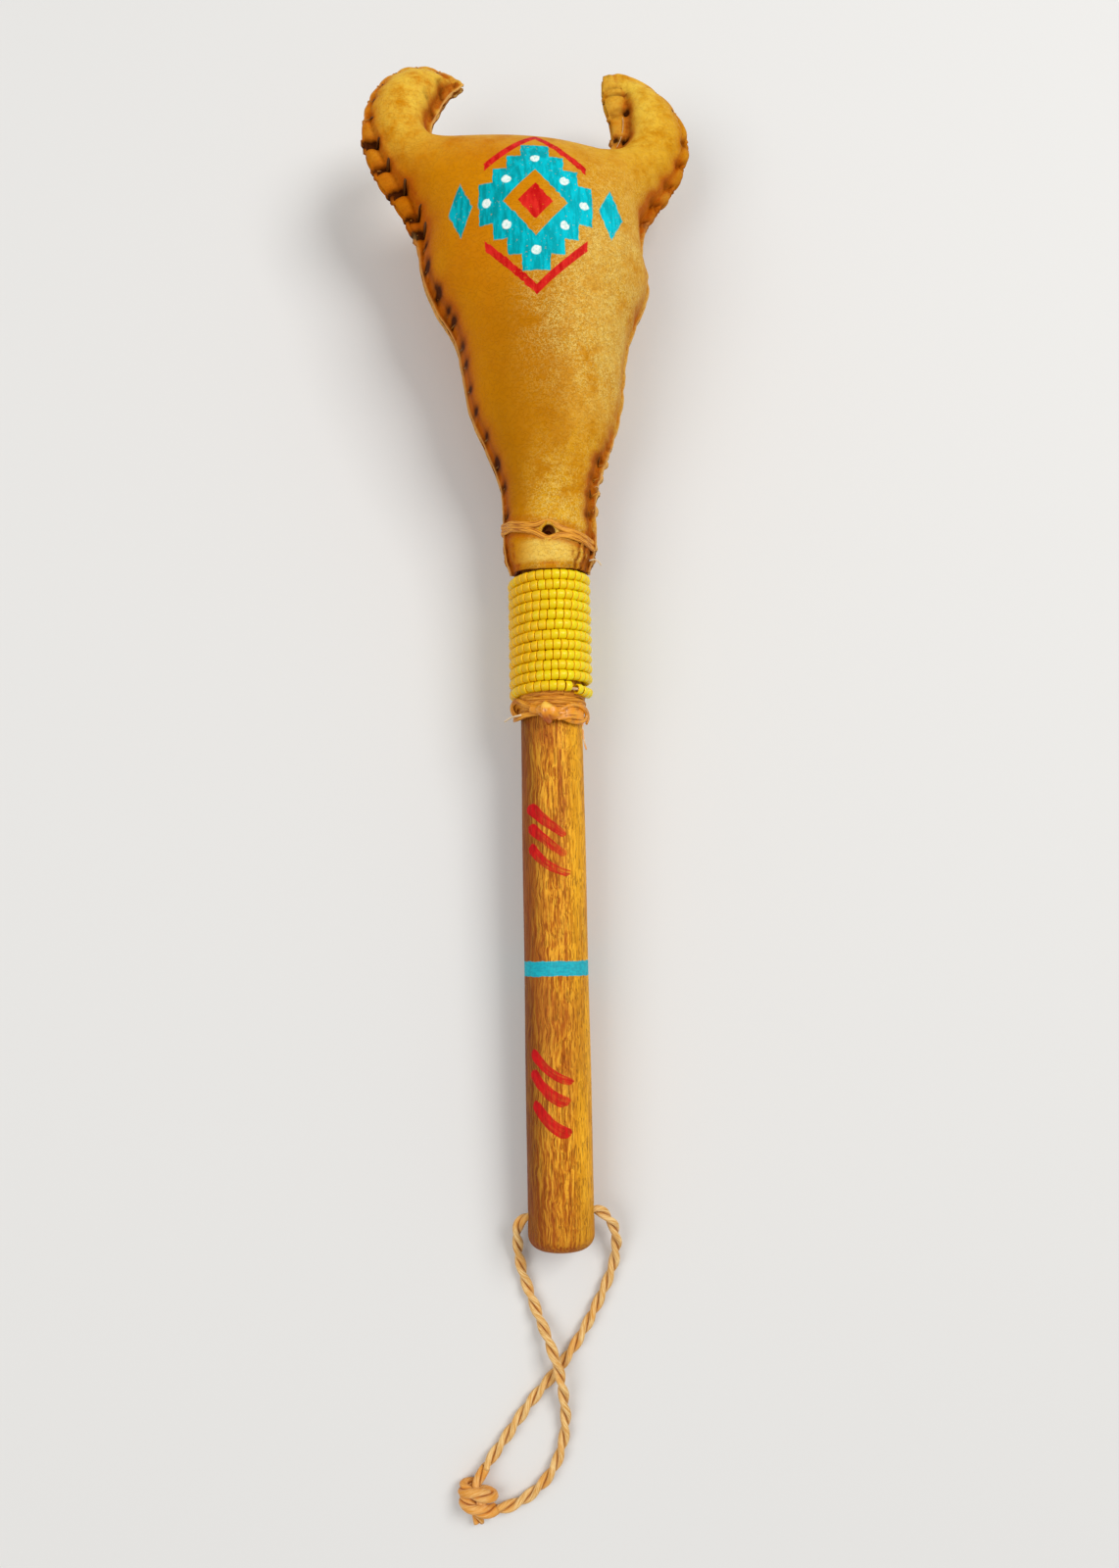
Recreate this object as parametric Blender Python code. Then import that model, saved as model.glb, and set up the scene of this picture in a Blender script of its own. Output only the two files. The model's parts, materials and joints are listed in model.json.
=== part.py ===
"""Rawhide rattle: a buffalo-head pouch of two hide panels sewn round their edge, filled with pebbles,
on a wooden handle with a beaded band, sinew ties and a wrist cord. Blender 4.5, metres, +Z up.

The pieces are modelled in a straight frame: y runs up the handle from its butt, x is to the right and
z towards the face. One empty then lays the rattle on its back, on the belly flat and the butt's rim.
"""

import math

import bmesh
import bpy
import numpy as np
from mathutils import Matrix, Vector
from mathutils.bvhtree import BVHTree
from mathutils.geometry import delaunay_2d_cdt

# Clearance between touching pieces
GAP = 0.0003

# Handle
HANDLE_LENGTH = 0.236
BUTT_RADIUS = 0.00965
BAND_RADIUS = 0.00925
TENON_RADIUS = 0.0087
BUTT_ROUNDING = 0.004
SHOULDER_HEIGHT = 0.0015
SHOULDER_COVER = 0.0005
TENON_CHAMFER = 0.0015
TENON_PLAY = 0.0007
HANDLE_SIDES = 32
WRIST_HOLE_FROM_BUTT = 0.0098
WRIST_HOLE_SLANT = math.radians(5.0)
PEG_HOLE_PLACE = 0.2087
PEG_HOLE_RADIUS = 0.0014
PEG_HOLE_DEPTH = 0.007

# Head: edge outline of the two panels, one smooth run for each seam lace
NECK_END = 0.1975
NECK_CORNER_RISE = 0.0033
LEFT_EDGE = [
    (-0.0135, NECK_END + NECK_CORNER_RISE), (-0.0136, 0.2120), (-0.0143, 0.2260), (-0.0186, 0.2380),
    (-0.0236, 0.2500), (-0.0258, 0.2620), (-0.0280, 0.2720), (-0.0343, 0.2830), (-0.0380, 0.2930),
    (-0.0396, 0.3040), (-0.0440, 0.3145), (-0.0515, 0.3255), (-0.0560, 0.3380), (-0.0552, 0.3500),
    (-0.0495, 0.3595), (-0.0400, 0.3645), (-0.0315, 0.3635), (-0.0245, 0.3595),
]
CROWN_EDGE = [
    (-0.0245, 0.3595), (-0.0295, 0.3548), (-0.0330, 0.3485), (-0.0352, 0.3430), (-0.0335, 0.3400),
    (-0.0250, 0.3396), (-0.0130, 0.3403), (0.0000, 0.3406), (0.0110, 0.3396), (0.0180, 0.3386),
    (0.0226, 0.3403), (0.0240, 0.3450), (0.0234, 0.3510), (0.0218, 0.3570), (0.0212, 0.3660),
]
RIGHT_EDGE = [
    (0.0212, 0.3660), (0.0270, 0.3673), (0.0340, 0.3650), (0.0405, 0.3605), (0.0455, 0.3540),
    (0.0482, 0.3455), (0.0468, 0.3360), (0.0422, 0.3270), (0.0366, 0.3190), (0.0328, 0.3115),
    (0.0323, 0.3040), (0.0339, 0.2970), (0.0335, 0.2900), (0.0300, 0.2815), (0.0266, 0.2720),
    (0.0252, 0.2620), (0.0240, 0.2520), (0.0208, 0.2405), (0.0168, 0.2305), (0.0149, 0.2200),
    (0.0146, 0.2100), (0.0142, NECK_END + NECK_CORNER_RISE),
]
HIDE_WALL = 0.0012
FLANGE_WIDTH = 0.0027
FACE_FULLNESS = 0.98
BACK_FULLNESS = 0.93
EDGE_SOFTNESS = 0.0012
SLEEVE_FADE = 0.010
HEAD_TWIST = math.radians(8.0)
TWIST_START = 0.215
TWIST_LENGTH = 0.060
BELLY_FLAT_DEPTH = 0.0009

# Facets of the hide: rings along the seam (inset from the flange, least spacing), then rows of a grid
EDGE_SPACING = 0.0044
NEAR_RINGS = [(0.0, 0.0008), (0.0013, 0.0008)]
FAR_RING = (0.0046, 0.0032)
RING_SLACK = 0.0001
GRID_SPACING = 0.0080
GRID_ROOM = 0.0048
GRID_INSET = 0.0028
NECK_ROW = 0.0078
NECK_ARC = 60
NECK_COLUMNS = 6

# Seam laces: flat sinew, whipped over the edge through a row of holes. A lace rounds the flange's edge
# below and above at these shares of the way to its next hole.
LACE_THICKNESS = 0.0010
LACE_PITCH = 0.0073
LACE_HOLE_INSET = 0.0016
LACE_CORNER = 0.0004
LACE_SLACK = 0.0002
LACE_END = 0.6
LACE_BELOW = (0.30, 0.36)
LACE_ABOVE = (0.52, 0.58)

# Neck tie, bead strand and the sinew wrap below the beads
TIE_PLACE = 0.2094
TIE_TILT = -0.14
TIE_THICKNESS = 0.0013
TIE_TURNS = 2.0
TIE_PITCH = 0.0030
TIE_SLACK = 0.0006
BEAD_ROW_PITCH = 0.00308
BEAD_ROWS = 12
BEAD_SELF_GAP = 0.00046
WRAP_THICKNESS = 0.0021
WRAP_PITCH = 0.0026
WRAP_TURNS = 2.0
WRAP_KNOT_RADII = (0.0026, 0.0023, 0.0019)
POINTS_PER_TURN = 24

# Pebbles inside the head, in rows of three
PEBBLE_COUNT = 12
PEBBLES_ACROSS = 3
PEBBLE_RADIUS = 0.0036
PEBBLE_SPACING = 0.0098
PEBBLE_FIELD_CENTRE = 0.288
PEBBLE_REACH = 0.040

# Wrist cord: route points of its two legs, x and y from the wrist hole and z from the table
CORD_THICKNESS = 0.0032
CORD_HOLE_PLAY = 0.0009
CORD_IN_HOLE = 0.0150
CORD_STEP = 0.0035
LEFT_LEG = [
    (-0.0082, -0.0007, 0.0099), (-0.0104, -0.0014, 0.0095), (-0.0120, -0.0029, 0.0086),
    (-0.0127, -0.0052, 0.0071), (-0.0128, -0.0083, 0.0052), (-0.0126, -0.0116, 0.0036),
    (-0.0121, -0.0154, 0.0024), (-0.0109, -0.0200, 0.0018), (-0.0092, -0.0246, 0.0017),
    (-0.0077, -0.0285, 0.0021), (-0.0061, -0.0322, 0.0030), (-0.0045, -0.0357, 0.0041),
    (-0.0031, -0.0394, 0.0049), (-0.0016, -0.0438, 0.00525), (-0.0006, -0.0484, 0.0046),
    (0.0000, -0.0535, 0.0032), (0.0002, -0.0584, 0.0020), (-0.0004, -0.0630, 0.0017),
    (-0.0018, -0.0676, 0.0017), (-0.0044, -0.0724, 0.0017), (-0.0087, -0.0767, 0.0017),
    (-0.0134, -0.0796, 0.0019), (-0.0172, -0.0807, 0.0025), (-0.0200, -0.0808, 0.0031),
]
RIGHT_LEG = [
    (0.0082, 0.0007, 0.0099), (0.0103, 0.0006, 0.0098), (0.0124, -0.0006, 0.0093),
    (0.0143, -0.0028, 0.0081), (0.0156, -0.0058, 0.0064), (0.0160, -0.0093, 0.0046),
    (0.0157, -0.0130, 0.0030), (0.0148, -0.0167, 0.0020), (0.0134, -0.0202, 0.0017),
    (0.0117, -0.0238, 0.0017), (0.0095, -0.0280, 0.0017), (0.0069, -0.0326, 0.0017),
    (0.0037, -0.0376, 0.0017), (0.0001, -0.0424, 0.0017), (-0.0045, -0.0476, 0.0017),
    (-0.0087, -0.0521, 0.0017), (-0.0124, -0.0566, 0.0017), (-0.0159, -0.0612, 0.0017),
    (-0.0191, -0.0653, 0.0018), (-0.0215, -0.0683, 0.0022), (-0.0230, -0.0703, 0.0028),
]
END_KNOT = (-0.0247, -0.0762, 0.0035)
END_KNOT_RADII = (0.0050, 0.0057, 0.0034)
END_KNOT_TAIL = (0.0, -0.0034, -0.0008)
TAIL_START = 0.8

# Steps of halving in the two searches: the lean on the table, and each pebble's room
HALVINGS = 30
STEEPEST_LEAN = math.radians(15.0)


def material(name, colour, roughness, metallic=0.0):
    """A Principled material with one colour, as near to the photographed finish as one value gives."""
    made = bpy.data.materials.new(name)
    made.use_nodes = True
    shader = made.node_tree.nodes["Principled BSDF"]
    shader.inputs["Base Color"].default_value = (*colour, 1.0)
    shader.inputs["Roughness"].default_value = roughness
    shader.inputs["Metallic"].default_value = metallic
    return made


def add_object(name, mesh, finish, parent):
    piece = bpy.data.objects.new(name, mesh)
    bpy.context.scene.collection.objects.link(piece)
    piece.parent = parent
    mesh.materials.append(finish)
    return piece


def mesh_from(name, points, faces, smooth_angle=40.0):
    """A mesh whose faces are made to point outwards, shaded smooth but for its sharp edges."""
    mesh = bpy.data.meshes.new(name)
    mesh.from_pydata([tuple(map(float, p)) for p in points], [], [tuple(map(int, f)) for f in faces])
    mesh.validate()
    mesh.shade_smooth()
    mesh.set_sharp_from_angle(angle=math.radians(smooth_angle))
    return mesh


def smooth_run(control, spacing):
    """Points a given spacing apart along a centripetal Catmull-Rom curve through the control points."""
    c = np.array(control, float)
    c = np.vstack([2 * c[0] - c[1], c, 2 * c[-1] - c[-2]])
    dense = []
    for i in range(len(c) - 3):
        p = c[i:i + 4]
        t = np.concatenate([[0.0], np.cumsum(np.sqrt(np.linalg.norm(np.diff(p, axis=0), axis=1)))])
        for u in np.linspace(t[1], t[2], 24, endpoint=False):
            a = [(t[k + 1] - u) / (t[k + 1] - t[k]) * p[k] + (u - t[k]) / (t[k + 1] - t[k]) * p[k + 1]
                 for k in range(3)]
            b = [(t[k + 2] - u) / (t[k + 2] - t[k]) * a[k] + (u - t[k]) / (t[k + 2] - t[k]) * a[k + 1]
                 for k in range(2)]
            dense.append((t[2] - u) / (t[2] - t[1]) * b[0] + (u - t[1]) / (t[2] - t[1]) * b[1])
    dense.append(c[-2])
    dense = np.array(dense)
    along = np.concatenate([[0.0], np.cumsum(np.linalg.norm(np.diff(dense, axis=0), axis=1))])
    count = max(2, round(along[-1] / spacing))
    wanted = np.linspace(0.0, along[-1], count + 1)
    return np.stack([np.interp(wanted, along, dense[:, k]) for k in range(dense.shape[1])], axis=1)


def inward(run):
    """Unit normals of a run that goes clockwise round the head: they point into the hide."""
    along = np.gradient(run, axis=0)
    along /= np.linalg.norm(along, axis=1)[:, None]
    return np.stack([along[:, 1], -along[:, 0]], axis=1)


def distance_to(path, points):
    """The least distance from each point to a polyline."""
    a, b = path[:-1], path[1:]
    d = b - a
    rel = points[:, None, :] - a[None]
    t = np.clip((rel * d).sum(2) / (d * d).sum(1), 0.0, 1.0)
    return np.linalg.norm(rel - t[..., None] * d, axis=2).min(axis=1)


def inside(loop, points):
    """Whether each point lies inside a closed loop, by counting crossings."""
    x0, y0 = loop[:, 0], loop[:, 1]
    x1, y1 = np.roll(x0, -1), np.roll(y0, -1)
    px, py = points[:, :1], points[:, 1:]
    spans = (y0 > py) != (y1 > py)
    with np.errstate(divide="ignore", invalid="ignore"):
        cross = px < (x1 - x0) * (py - y0) / (y1 - y0) + x0
    return (spans & cross).sum(axis=1) % 2 == 1


def twisted(points):
    """The head dried with a twist about the handle's axis, its left horn towards the face."""
    p = np.asarray(points, float)
    k = np.clip((p[:, 1] - TWIST_START) / TWIST_LENGTH, 0.0, 1.0)
    turn = HEAD_TWIST * k * k * (3.0 - 2.0 * k)
    c, s = np.cos(turn), np.sin(turn)
    return np.stack([p[:, 0] * c + p[:, 2] * s, p[:, 1], -p[:, 0] * s + p[:, 2] * c], axis=1)


def add_spaced(points, more, room):
    """Adds points to a list, leaving out any that would lie closer than room to one already there."""
    for p in more:
        if np.linalg.norm(np.array(points) - p, axis=1).min() > room:
            points.append(tuple(p))


def hide_patch(runs, lace_holes):
    """The flat pattern of one panel: points and triangles, and which points lie on the sewn flange."""
    sewn = np.vstack([run if i == 0 else run[1:] for i, run in enumerate(runs)])
    normals = np.vstack([inward(run) if i == 0 else inward(run)[1:] for i, run in enumerate(runs)])
    root = FLANGE_WIDTH
    sleeve = TENON_RADIUS + TENON_PLAY + HIDE_WALL
    sines = np.sin(np.radians(np.linspace(NECK_ARC, -NECK_ARC, NECK_COLUMNS + 1)))
    neck_x = np.concatenate([[sewn[-1, 0] - root], sleeve * sines, [sewn[0, 0] + root]])
    middle, half = (sewn[-1, 0] + sewn[0, 0]) / 2, (sewn[-1, 0] - sewn[0, 0]) / 2
    neck = np.stack([neck_x, NECK_END + NECK_CORNER_RISE * ((neck_x - middle) / half) ** 2], axis=1)
    loop = np.vstack([sewn, neck])
    points, edges = [tuple(p) for p in loop], [(i, (i + 1) % len(loop)) for i in range(len(loop))]
    for hole in lace_holes:
        first = len(points)
        points += [tuple(p) for p in hole]
        edges += [(first + k, first + (k + 1) % len(hole)) for k in range(len(hole))]
    rings = [(step, room, sewn[0, 1] + NEAR_RINGS[-1][0]) for step, room in NEAR_RINGS]
    rings.append((*FAR_RING, HANDLE_LENGTH))
    for step, room, foot in rings:
        ring = sewn + normals * (root + step)
        keep = (distance_to(sewn, ring) > root + step - RING_SLACK) & inside(loop, ring) & (ring[:, 1] > foot)
        add_spaced(points, ring[keep], room)
    angles = np.radians(np.linspace(-NECK_ARC, NECK_ARC, NECK_COLUMNS))
    for y in np.arange(NECK_END + NECK_ROW, HANDLE_LENGTH + NECK_ROW, NECK_ROW):
        points += [(sleeve * math.sin(a), y) for a in angles]
    low, high = loop.min(axis=0), loop.max(axis=0)
    row_step = GRID_SPACING * math.sqrt(3) / 2
    for j, y in enumerate(np.arange(low[1] + row_step / 2, high[1], row_step)):
        row = np.arange(low[0] + (j % 2) * GRID_SPACING / 2, high[0], GRID_SPACING)
        grid = np.stack([row, np.full(len(row), y)], axis=1)
        grid = grid[inside(loop, grid)]
        if len(grid):
            add_spaced(points, grid[distance_to(sewn, grid) > root + GRID_INSET], GRID_ROOM)
    flat, _, faces, _, _, _ = delaunay_2d_cdt([Vector(p) * 1000 for p in points], edges, [], 0, 1e-4)
    flat = np.array([tuple(p) for p in flat]) / 1000
    faces = np.array([f for f in faces if len(f) == 3])
    centres = flat[faces].mean(axis=1)
    keep = inside(loop, centres)
    for hole in lace_holes:
        keep &= ~inside(np.array(hole), centres)
    faces = faces[keep]
    d = flat[faces[:, 1]] - flat[faces[:, 0]]
    e = flat[faces[:, 2]] - flat[faces[:, 0]]
    turned = d[:, 0] * e[:, 1] - d[:, 1] * e[:, 0] < 0
    faces[turned] = faces[turned][:, ::-1]
    used = np.unique(faces)
    index = np.full(len(flat), -1)
    index[used] = np.arange(len(used))
    flat = flat[used]
    on_flange = distance_to(sewn, flat) < root + RING_SLACK
    return flat, index[faces], on_flange


def fullness(flat, faces, on_flange):
    """How far the hide stands off the seam's plane: a membrane held at the flange, under even pressure."""
    count = len(flat)
    stiff, load = np.zeros((count, count)), np.zeros(count)
    for face in faces:
        p = flat[face]
        area = 0.5 * abs(np.cross(p[1] - p[0], p[2] - p[0]))
        load[face] += area / 3.0
        for k in range(3):
            i, j, opposite = face[k], face[(k + 1) % 3], p[(k + 2) % 3]
            u, v = flat[i] - opposite, flat[j] - opposite
            weight = 0.5 * (u @ v) / max(abs(np.cross(u, v)), 1e-12)
            stiff[i, j] -= weight
            stiff[j, i] -= weight
            stiff[i, i] += weight
            stiff[j, j] += weight
    free = ~on_flange
    rise = np.zeros(count)
    rise[free] = np.linalg.solve(stiff[np.ix_(free, free)], load[free])
    return np.sqrt(2.0 * np.maximum(rise, 0.0) + EDGE_SOFTNESS ** 2) - EDGE_SOFTNESS


def shell(name, surface, faces, finish, parent):
    """A panel as one wall of hide, thickened inwards from its outer surface."""
    mesh = mesh_from(name, surface, faces)
    piece = add_object(name, mesh, finish, parent)
    wall = piece.modifiers.new("Hide wall", "SOLIDIFY")
    wall.thickness = HIDE_WALL
    wall.offset = -1.0
    wall.use_even_offset = True
    wall.thickness_clamp = 0.0
    return piece


def lathe(name, profile, sides, finish, parent):
    """A solid turned round y from (radius, y) rows. Rows of radius 0 close its two ends."""
    points, rings = [], []
    for radius, y in profile:
        if radius == 0.0:
            rings.append([len(points)])
            points.append((0.0, y, 0.0))
            continue
        rings.append(list(range(len(points), len(points) + sides)))
        for k in range(sides):
            a = 2.0 * math.pi * (k + 0.5) / sides
            points.append((radius * math.sin(a), y, radius * math.cos(a)))
    faces = []
    for low, high in zip(rings, rings[1:]):
        for k in range(sides):
            n = (k + 1) % sides
            if len(low) == 1:
                faces.append((low[0], high[n], high[k]))
            elif len(high) == 1:
                faces.append((low[k], low[n], high[0]))
            else:
                faces.append((low[k], low[n], high[n], high[k]))
    return add_object(name, mesh_from(name, points, faces), finish, parent)


def tube(name, points, thickness, resolution, finish, parent):
    """A capped round tube along a polyline."""
    curve = bpy.data.curves.new(name, "CURVE")
    curve.dimensions = "3D"
    curve.bevel_depth = thickness / 2
    curve.bevel_resolution = resolution
    curve.use_fill_caps = True
    spline = curve.splines.new("POLY")
    spline.points.add(len(points) - 1)
    for spot, p in zip(spline.points, points):
        spot.co = (*map(float, p), 1.0)
    piece = bpy.data.objects.new(name, curve)
    bpy.context.scene.collection.objects.link(piece)
    piece.parent = parent
    curve.materials.append(finish)
    return piece


def least_gap(points, thickness, apart):
    """The least clear distance of a tube to itself, between points at least some way apart along it."""
    p = np.array(points)
    along = np.concatenate([[0.0], np.cumsum(np.linalg.norm(np.diff(p, axis=0), axis=1))])
    far = np.abs(along[:, None] - along[None]) > apart
    gaps = np.linalg.norm(p[:, None] - p[None], axis=2)
    return float(gaps[far].min() - thickness)


def bore(target, name, radius, start, end, sides=16):
    """Cuts a round hole from start to end through target."""
    run = Vector(end) - Vector(start)
    mesh = bpy.data.meshes.new(name)
    work = bmesh.new()
    bmesh.ops.create_cone(work, cap_ends=True, segments=sides, radius1=radius, radius2=radius,
                          depth=run.length)
    work.to_mesh(mesh)
    work.free()
    cutter = bpy.data.objects.new(name, mesh)
    bpy.context.scene.collection.objects.link(cutter)
    cutter.parent = target.parent
    cutter.matrix_local = (Matrix.Translation((Vector(start) + Vector(end)) / 2)
                           @ run.to_track_quat("Z", "Y").to_matrix().to_4x4())
    cutter.hide_render = True
    cutter.display_type = "WIRE"
    cut = target.modifiers.new(name, "BOOLEAN")
    cut.operation = "DIFFERENCE"
    cut.solver = "EXACT"
    cut.object = cutter


def winding(radius_x, radius_z, start_y, pitch, turns, from_angle, lead):
    """A helix round y with an oval section, whose two ends run on straight for a length."""
    count = round(turns * POINTS_PER_TURN)
    step = np.arange(count + 1) / POINTS_PER_TURN
    a = from_angle + 2.0 * math.pi * step
    p = np.stack([radius_x * np.sin(a), start_y + pitch * step, radius_z * np.cos(a)], axis=1)
    first, last = p[0] - p[1], p[-1] - p[-2]
    first[1] = last[1] = 0.0
    head = p[0] + first / np.linalg.norm(first) * lead
    tail = p[-1] + last / np.linalg.norm(last) * lead
    return np.vstack([head, p, tail])


def whip_stitches(run, holes_at):
    """The lace's line: down through each hole, out under the flange, up over its edge to the next hole."""
    side = HIDE_WALL + GAP / 2 + GAP + LACE_THICKNESS / 2
    over = GAP + LACE_SLACK + LACE_THICKNESS / 2
    along = np.concatenate([[0.0], np.cumsum(np.linalg.norm(np.diff(run, axis=0), axis=1))])
    normals = inward(run)

    def at(length, inset, z):
        place = [np.interp(length, along, run[:, k]) for k in range(2)]
        n = np.array([np.interp(length, along, normals[:, k]) for k in range(2)])
        n /= np.linalg.norm(n)
        return (place[0] + n[0] * inset, place[1] + n[1] * inset, z)

    line = []
    for k, length in enumerate(holes_at):
        c = LACE_CORNER
        line += [at(length, LACE_HOLE_INSET - c, side), at(length, LACE_HOLE_INSET, side - c)]
        line += [at(length, LACE_HOLE_INSET, c - side), at(length, LACE_HOLE_INSET - c, -side)]
        if k + 1 == len(holes_at):
            break
        ahead = holes_at[k + 1] - length
        under, edge_under = (length + share * ahead for share in LACE_BELOW)
        edge_over, top = (length + share * ahead for share in LACE_ABOVE)
        line += [at(under, c - over, -side), at(edge_under, -over, c - side)]
        line += [at(edge_over, -over, side - c), at(top, c - over, side)]
    return line


def pebble(name, index, finish, parent):
    """A worn pebble: a rounded stone, a little different each time."""
    rng = np.random.default_rng(100 + index)
    work = bmesh.new()
    bmesh.ops.create_icosphere(work, subdivisions=2, radius=PEBBLE_RADIUS)
    stretch = np.array([1.0, rng.uniform(0.82, 0.95), rng.uniform(0.70, 0.82)])
    lumps = rng.normal(size=(3, 3)) / PEBBLE_RADIUS
    turn = Matrix.Rotation(rng.uniform(0, math.pi), 3, "Z")
    for v in work.verts:
        p = np.array(v.co)
        swell = 1.0 + 0.05 * sum(math.sin(0.9 * row @ p) for row in lumps) / 3
        v.co = turn @ Vector(p * stretch * swell)
    mesh = bpy.data.meshes.new(name)
    work.to_mesh(mesh)
    work.free()
    mesh.shade_smooth()
    return add_object(name, mesh, finish, parent)


def drawn_round_handle(flat, height, on_flange):
    """Height of the hide where the neck is drawn round the handle, eased off above the handle's end."""
    reach = TENON_RADIUS + TENON_PLAY + HIDE_WALL
    sleeve = np.sqrt(np.maximum(reach ** 2 - flat[:, 0] ** 2, 0.0))
    ease = np.clip((HANDLE_LENGTH + SLEEVE_FADE - flat[:, 1]) / SLEEVE_FADE, 0.0, 1.0)
    return np.where(on_flange, height, np.maximum(height, sleeve * ease))


def evaluated_points(piece):
    """World points of a piece as its modifiers leave it."""
    shape = piece.evaluated_get(bpy.context.evaluated_depsgraph_get())
    mesh = shape.to_mesh()
    points = np.empty(len(mesh.vertices) * 3, np.float32)
    mesh.vertices.foreach_get("co", points)
    faces = [tuple(f.vertices) for f in mesh.polygons]
    shape.to_mesh_clear()
    matrix = np.array(piece.matrix_world)
    return points.reshape(-1, 3).astype(float) @ matrix[:3, :3].T + matrix[:3, 3], faces


def lifted(points, lean):
    """Heights of points once the rattle leans forward on the table by an angle."""
    return points[:, 1] * math.sin(lean) + points[:, 2] * math.cos(lean)


def tied_knot(name, radii, centre, tail, finish, parent):
    """A tied knot, rounded, and drawn out at one side into the stub of its cut ends where it has one."""
    work = bmesh.new()
    bmesh.ops.create_icosphere(work, subdivisions=3, radius=1.0)
    way = Vector(tail).normalized() if any(tail) else Vector((0, 0, 1))
    for v in work.verts:
        pull = max(0.0, (v.co @ way - TAIL_START) / (1.0 - TAIL_START)) if any(tail) else 0.0
        v.co = Vector([v.co[k] * radii[k] for k in range(3)]) + pull * Vector(tail) + Vector(centre)
    mesh = bpy.data.meshes.new(name)
    work.to_mesh(mesh)
    work.free()
    mesh.shade_smooth()
    return add_object(name, mesh, finish, parent)


def neck_edge(run, y):
    """Where a side of the neck stands across at a height on it."""
    neck = run[run[:, 1] < TWIST_START]
    neck = neck[np.argsort(neck[:, 1])]
    return float(np.interp(y, neck[:, 1], neck[:, 0]))


def room(shape, sides, start, way, wall):
    """How far a stone can go up or down before it comes within the gap of a wall or crosses it."""
    near, far = 0.0, PEBBLE_REACH
    for _ in range(HALVINGS):
        middle = (near + far) / 2
        spots = [Vector(p) for p in shape + start + np.array((0, 0, way * middle))]
        past = any(wall.ray_cast(p, Vector((0, 0, way)))[0] is None for p in spots)
        close = min(wall.find_nearest(p)[3] for p in spots) < GAP
        if past or close or BVHTree.FromPolygons(spots, sides).overlap(wall):
            far = middle
        else:
            near = middle
    return near


for old in list(bpy.data.objects):
    bpy.data.objects.remove(old, do_unlink=True)

hide = material("rawhide", (0.62, 0.36, 0.07), 0.45)
wood = material("handle_wood", (0.50, 0.22, 0.05), 0.5)
sinew = material("sinew", (0.45, 0.20, 0.06), 0.5)
bead_glass = material("bead_yellow", (0.80, 0.66, 0.01), 0.25)
twine = material("wrist_twine", (0.70, 0.44, 0.18), 0.8)
stone = material("pebble_stone", (0.30, 0.27, 0.24), 0.7)

frame = bpy.data.objects.new("rattle_frame", None)
bpy.context.scene.collection.objects.link(frame)

# Head panels, sewn from just above the neck tie
tie_top = TIE_PLACE + TIE_TURNS * TIE_PITCH / 2 + TIE_THICKNESS
runs, holes, laces = [], [], []
for control in (LEFT_EDGE, CROWN_EDGE, RIGHT_EDGE):
    run = smooth_run(control, EDGE_SPACING)
    along = np.concatenate([[0.0], np.cumsum(np.linalg.norm(np.diff(run, axis=0), axis=1))])
    clear = along[run[:, 1] > tie_top + TIE_TILT * run[:, 0]]
    first, last = clear[0] + LACE_END * LACE_PITCH, clear[-1] - LACE_END * LACE_PITCH
    holes_at = np.linspace(first, last, round((last - first) / LACE_PITCH) + 1)
    line = whip_stitches(run, holes_at)
    runs.append(run)
    laces.append(line)
    normals = inward(run)
    half = LACE_THICKNESS / 2 + GAP
    for spot in holes_at:
        centre = np.array([np.interp(spot, along, run[:, k]) for k in range(2)])
        n = np.array([np.interp(spot, along, normals[:, k]) for k in range(2)])
        n /= np.linalg.norm(n)
        t = np.array([n[1], -n[0]])
        centre = centre + n * LACE_HOLE_INSET
        holes.append([centre + half * (n + t), centre + half * (n - t), centre - half * (n + t),
                      centre - half * (n - t)])

flat, faces, on_flange = hide_patch(runs, holes)
rise = fullness(flat, faces, on_flange)
base = GAP / 2 + HIDE_WALL
front_z = drawn_round_handle(flat, base + FACE_FULLNESS * rise, on_flange)
back_z = -drawn_round_handle(flat, base + BACK_FULLNESS * rise, on_flange)
front_surface = twisted(np.column_stack([flat, front_z]))
back_surface = twisted(np.column_stack([flat, back_z]))
front_panel = shell("head_front_panel", front_surface, faces, hide, frame)
back_panel = shell("head_back_panel", back_surface, faces[:, ::-1], hide, frame)
for name, line in zip(("seam_lace_left", "seam_lace_crown", "seam_lace_right"), laces):
    print(name, "least gap to itself, mm", round(1000 * least_gap(line, LACE_THICKNESS, LACE_PITCH), 2))
    tube(name, twisted(np.array(line)), LACE_THICKNESS, 0, sinew, frame)

# Handle, bored across for the wrist cord and from the face for a peg through the neck's tie
arc = [math.radians(a) for a in (0, 22.5, 45, 67.5, 90)]
shoulder_top = NECK_END - SHOULDER_COVER
profile = [(0.0, 0.0)]
profile += [(BUTT_RADIUS - BUTT_ROUNDING * (1 - math.sin(a)), BUTT_ROUNDING * (1 - math.cos(a))) for a in arc]
profile += [(BAND_RADIUS, shoulder_top - SHOULDER_HEIGHT), (TENON_RADIUS, shoulder_top),
            (TENON_RADIUS, HANDLE_LENGTH - TENON_CHAMFER), (TENON_RADIUS - TENON_CHAMFER, HANDLE_LENGTH),
            (0.0, HANDLE_LENGTH)]
handle = lathe("handle", profile, HANDLE_SIDES, wood, frame)
cord_hole = CORD_THICKNESS / 2 + CORD_HOLE_PLAY
through = Vector((math.cos(WRIST_HOLE_SLANT), math.sin(WRIST_HOLE_SLANT), 0))
wrist_hole_place = Vector((0, WRIST_HOLE_FROM_BUTT, 0))
bore(handle, "wrist_hole_cutter", cord_hole, wrist_hole_place - 2 * BUTT_RADIUS * through,
     wrist_hole_place + 2 * BUTT_RADIUS * through)
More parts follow.
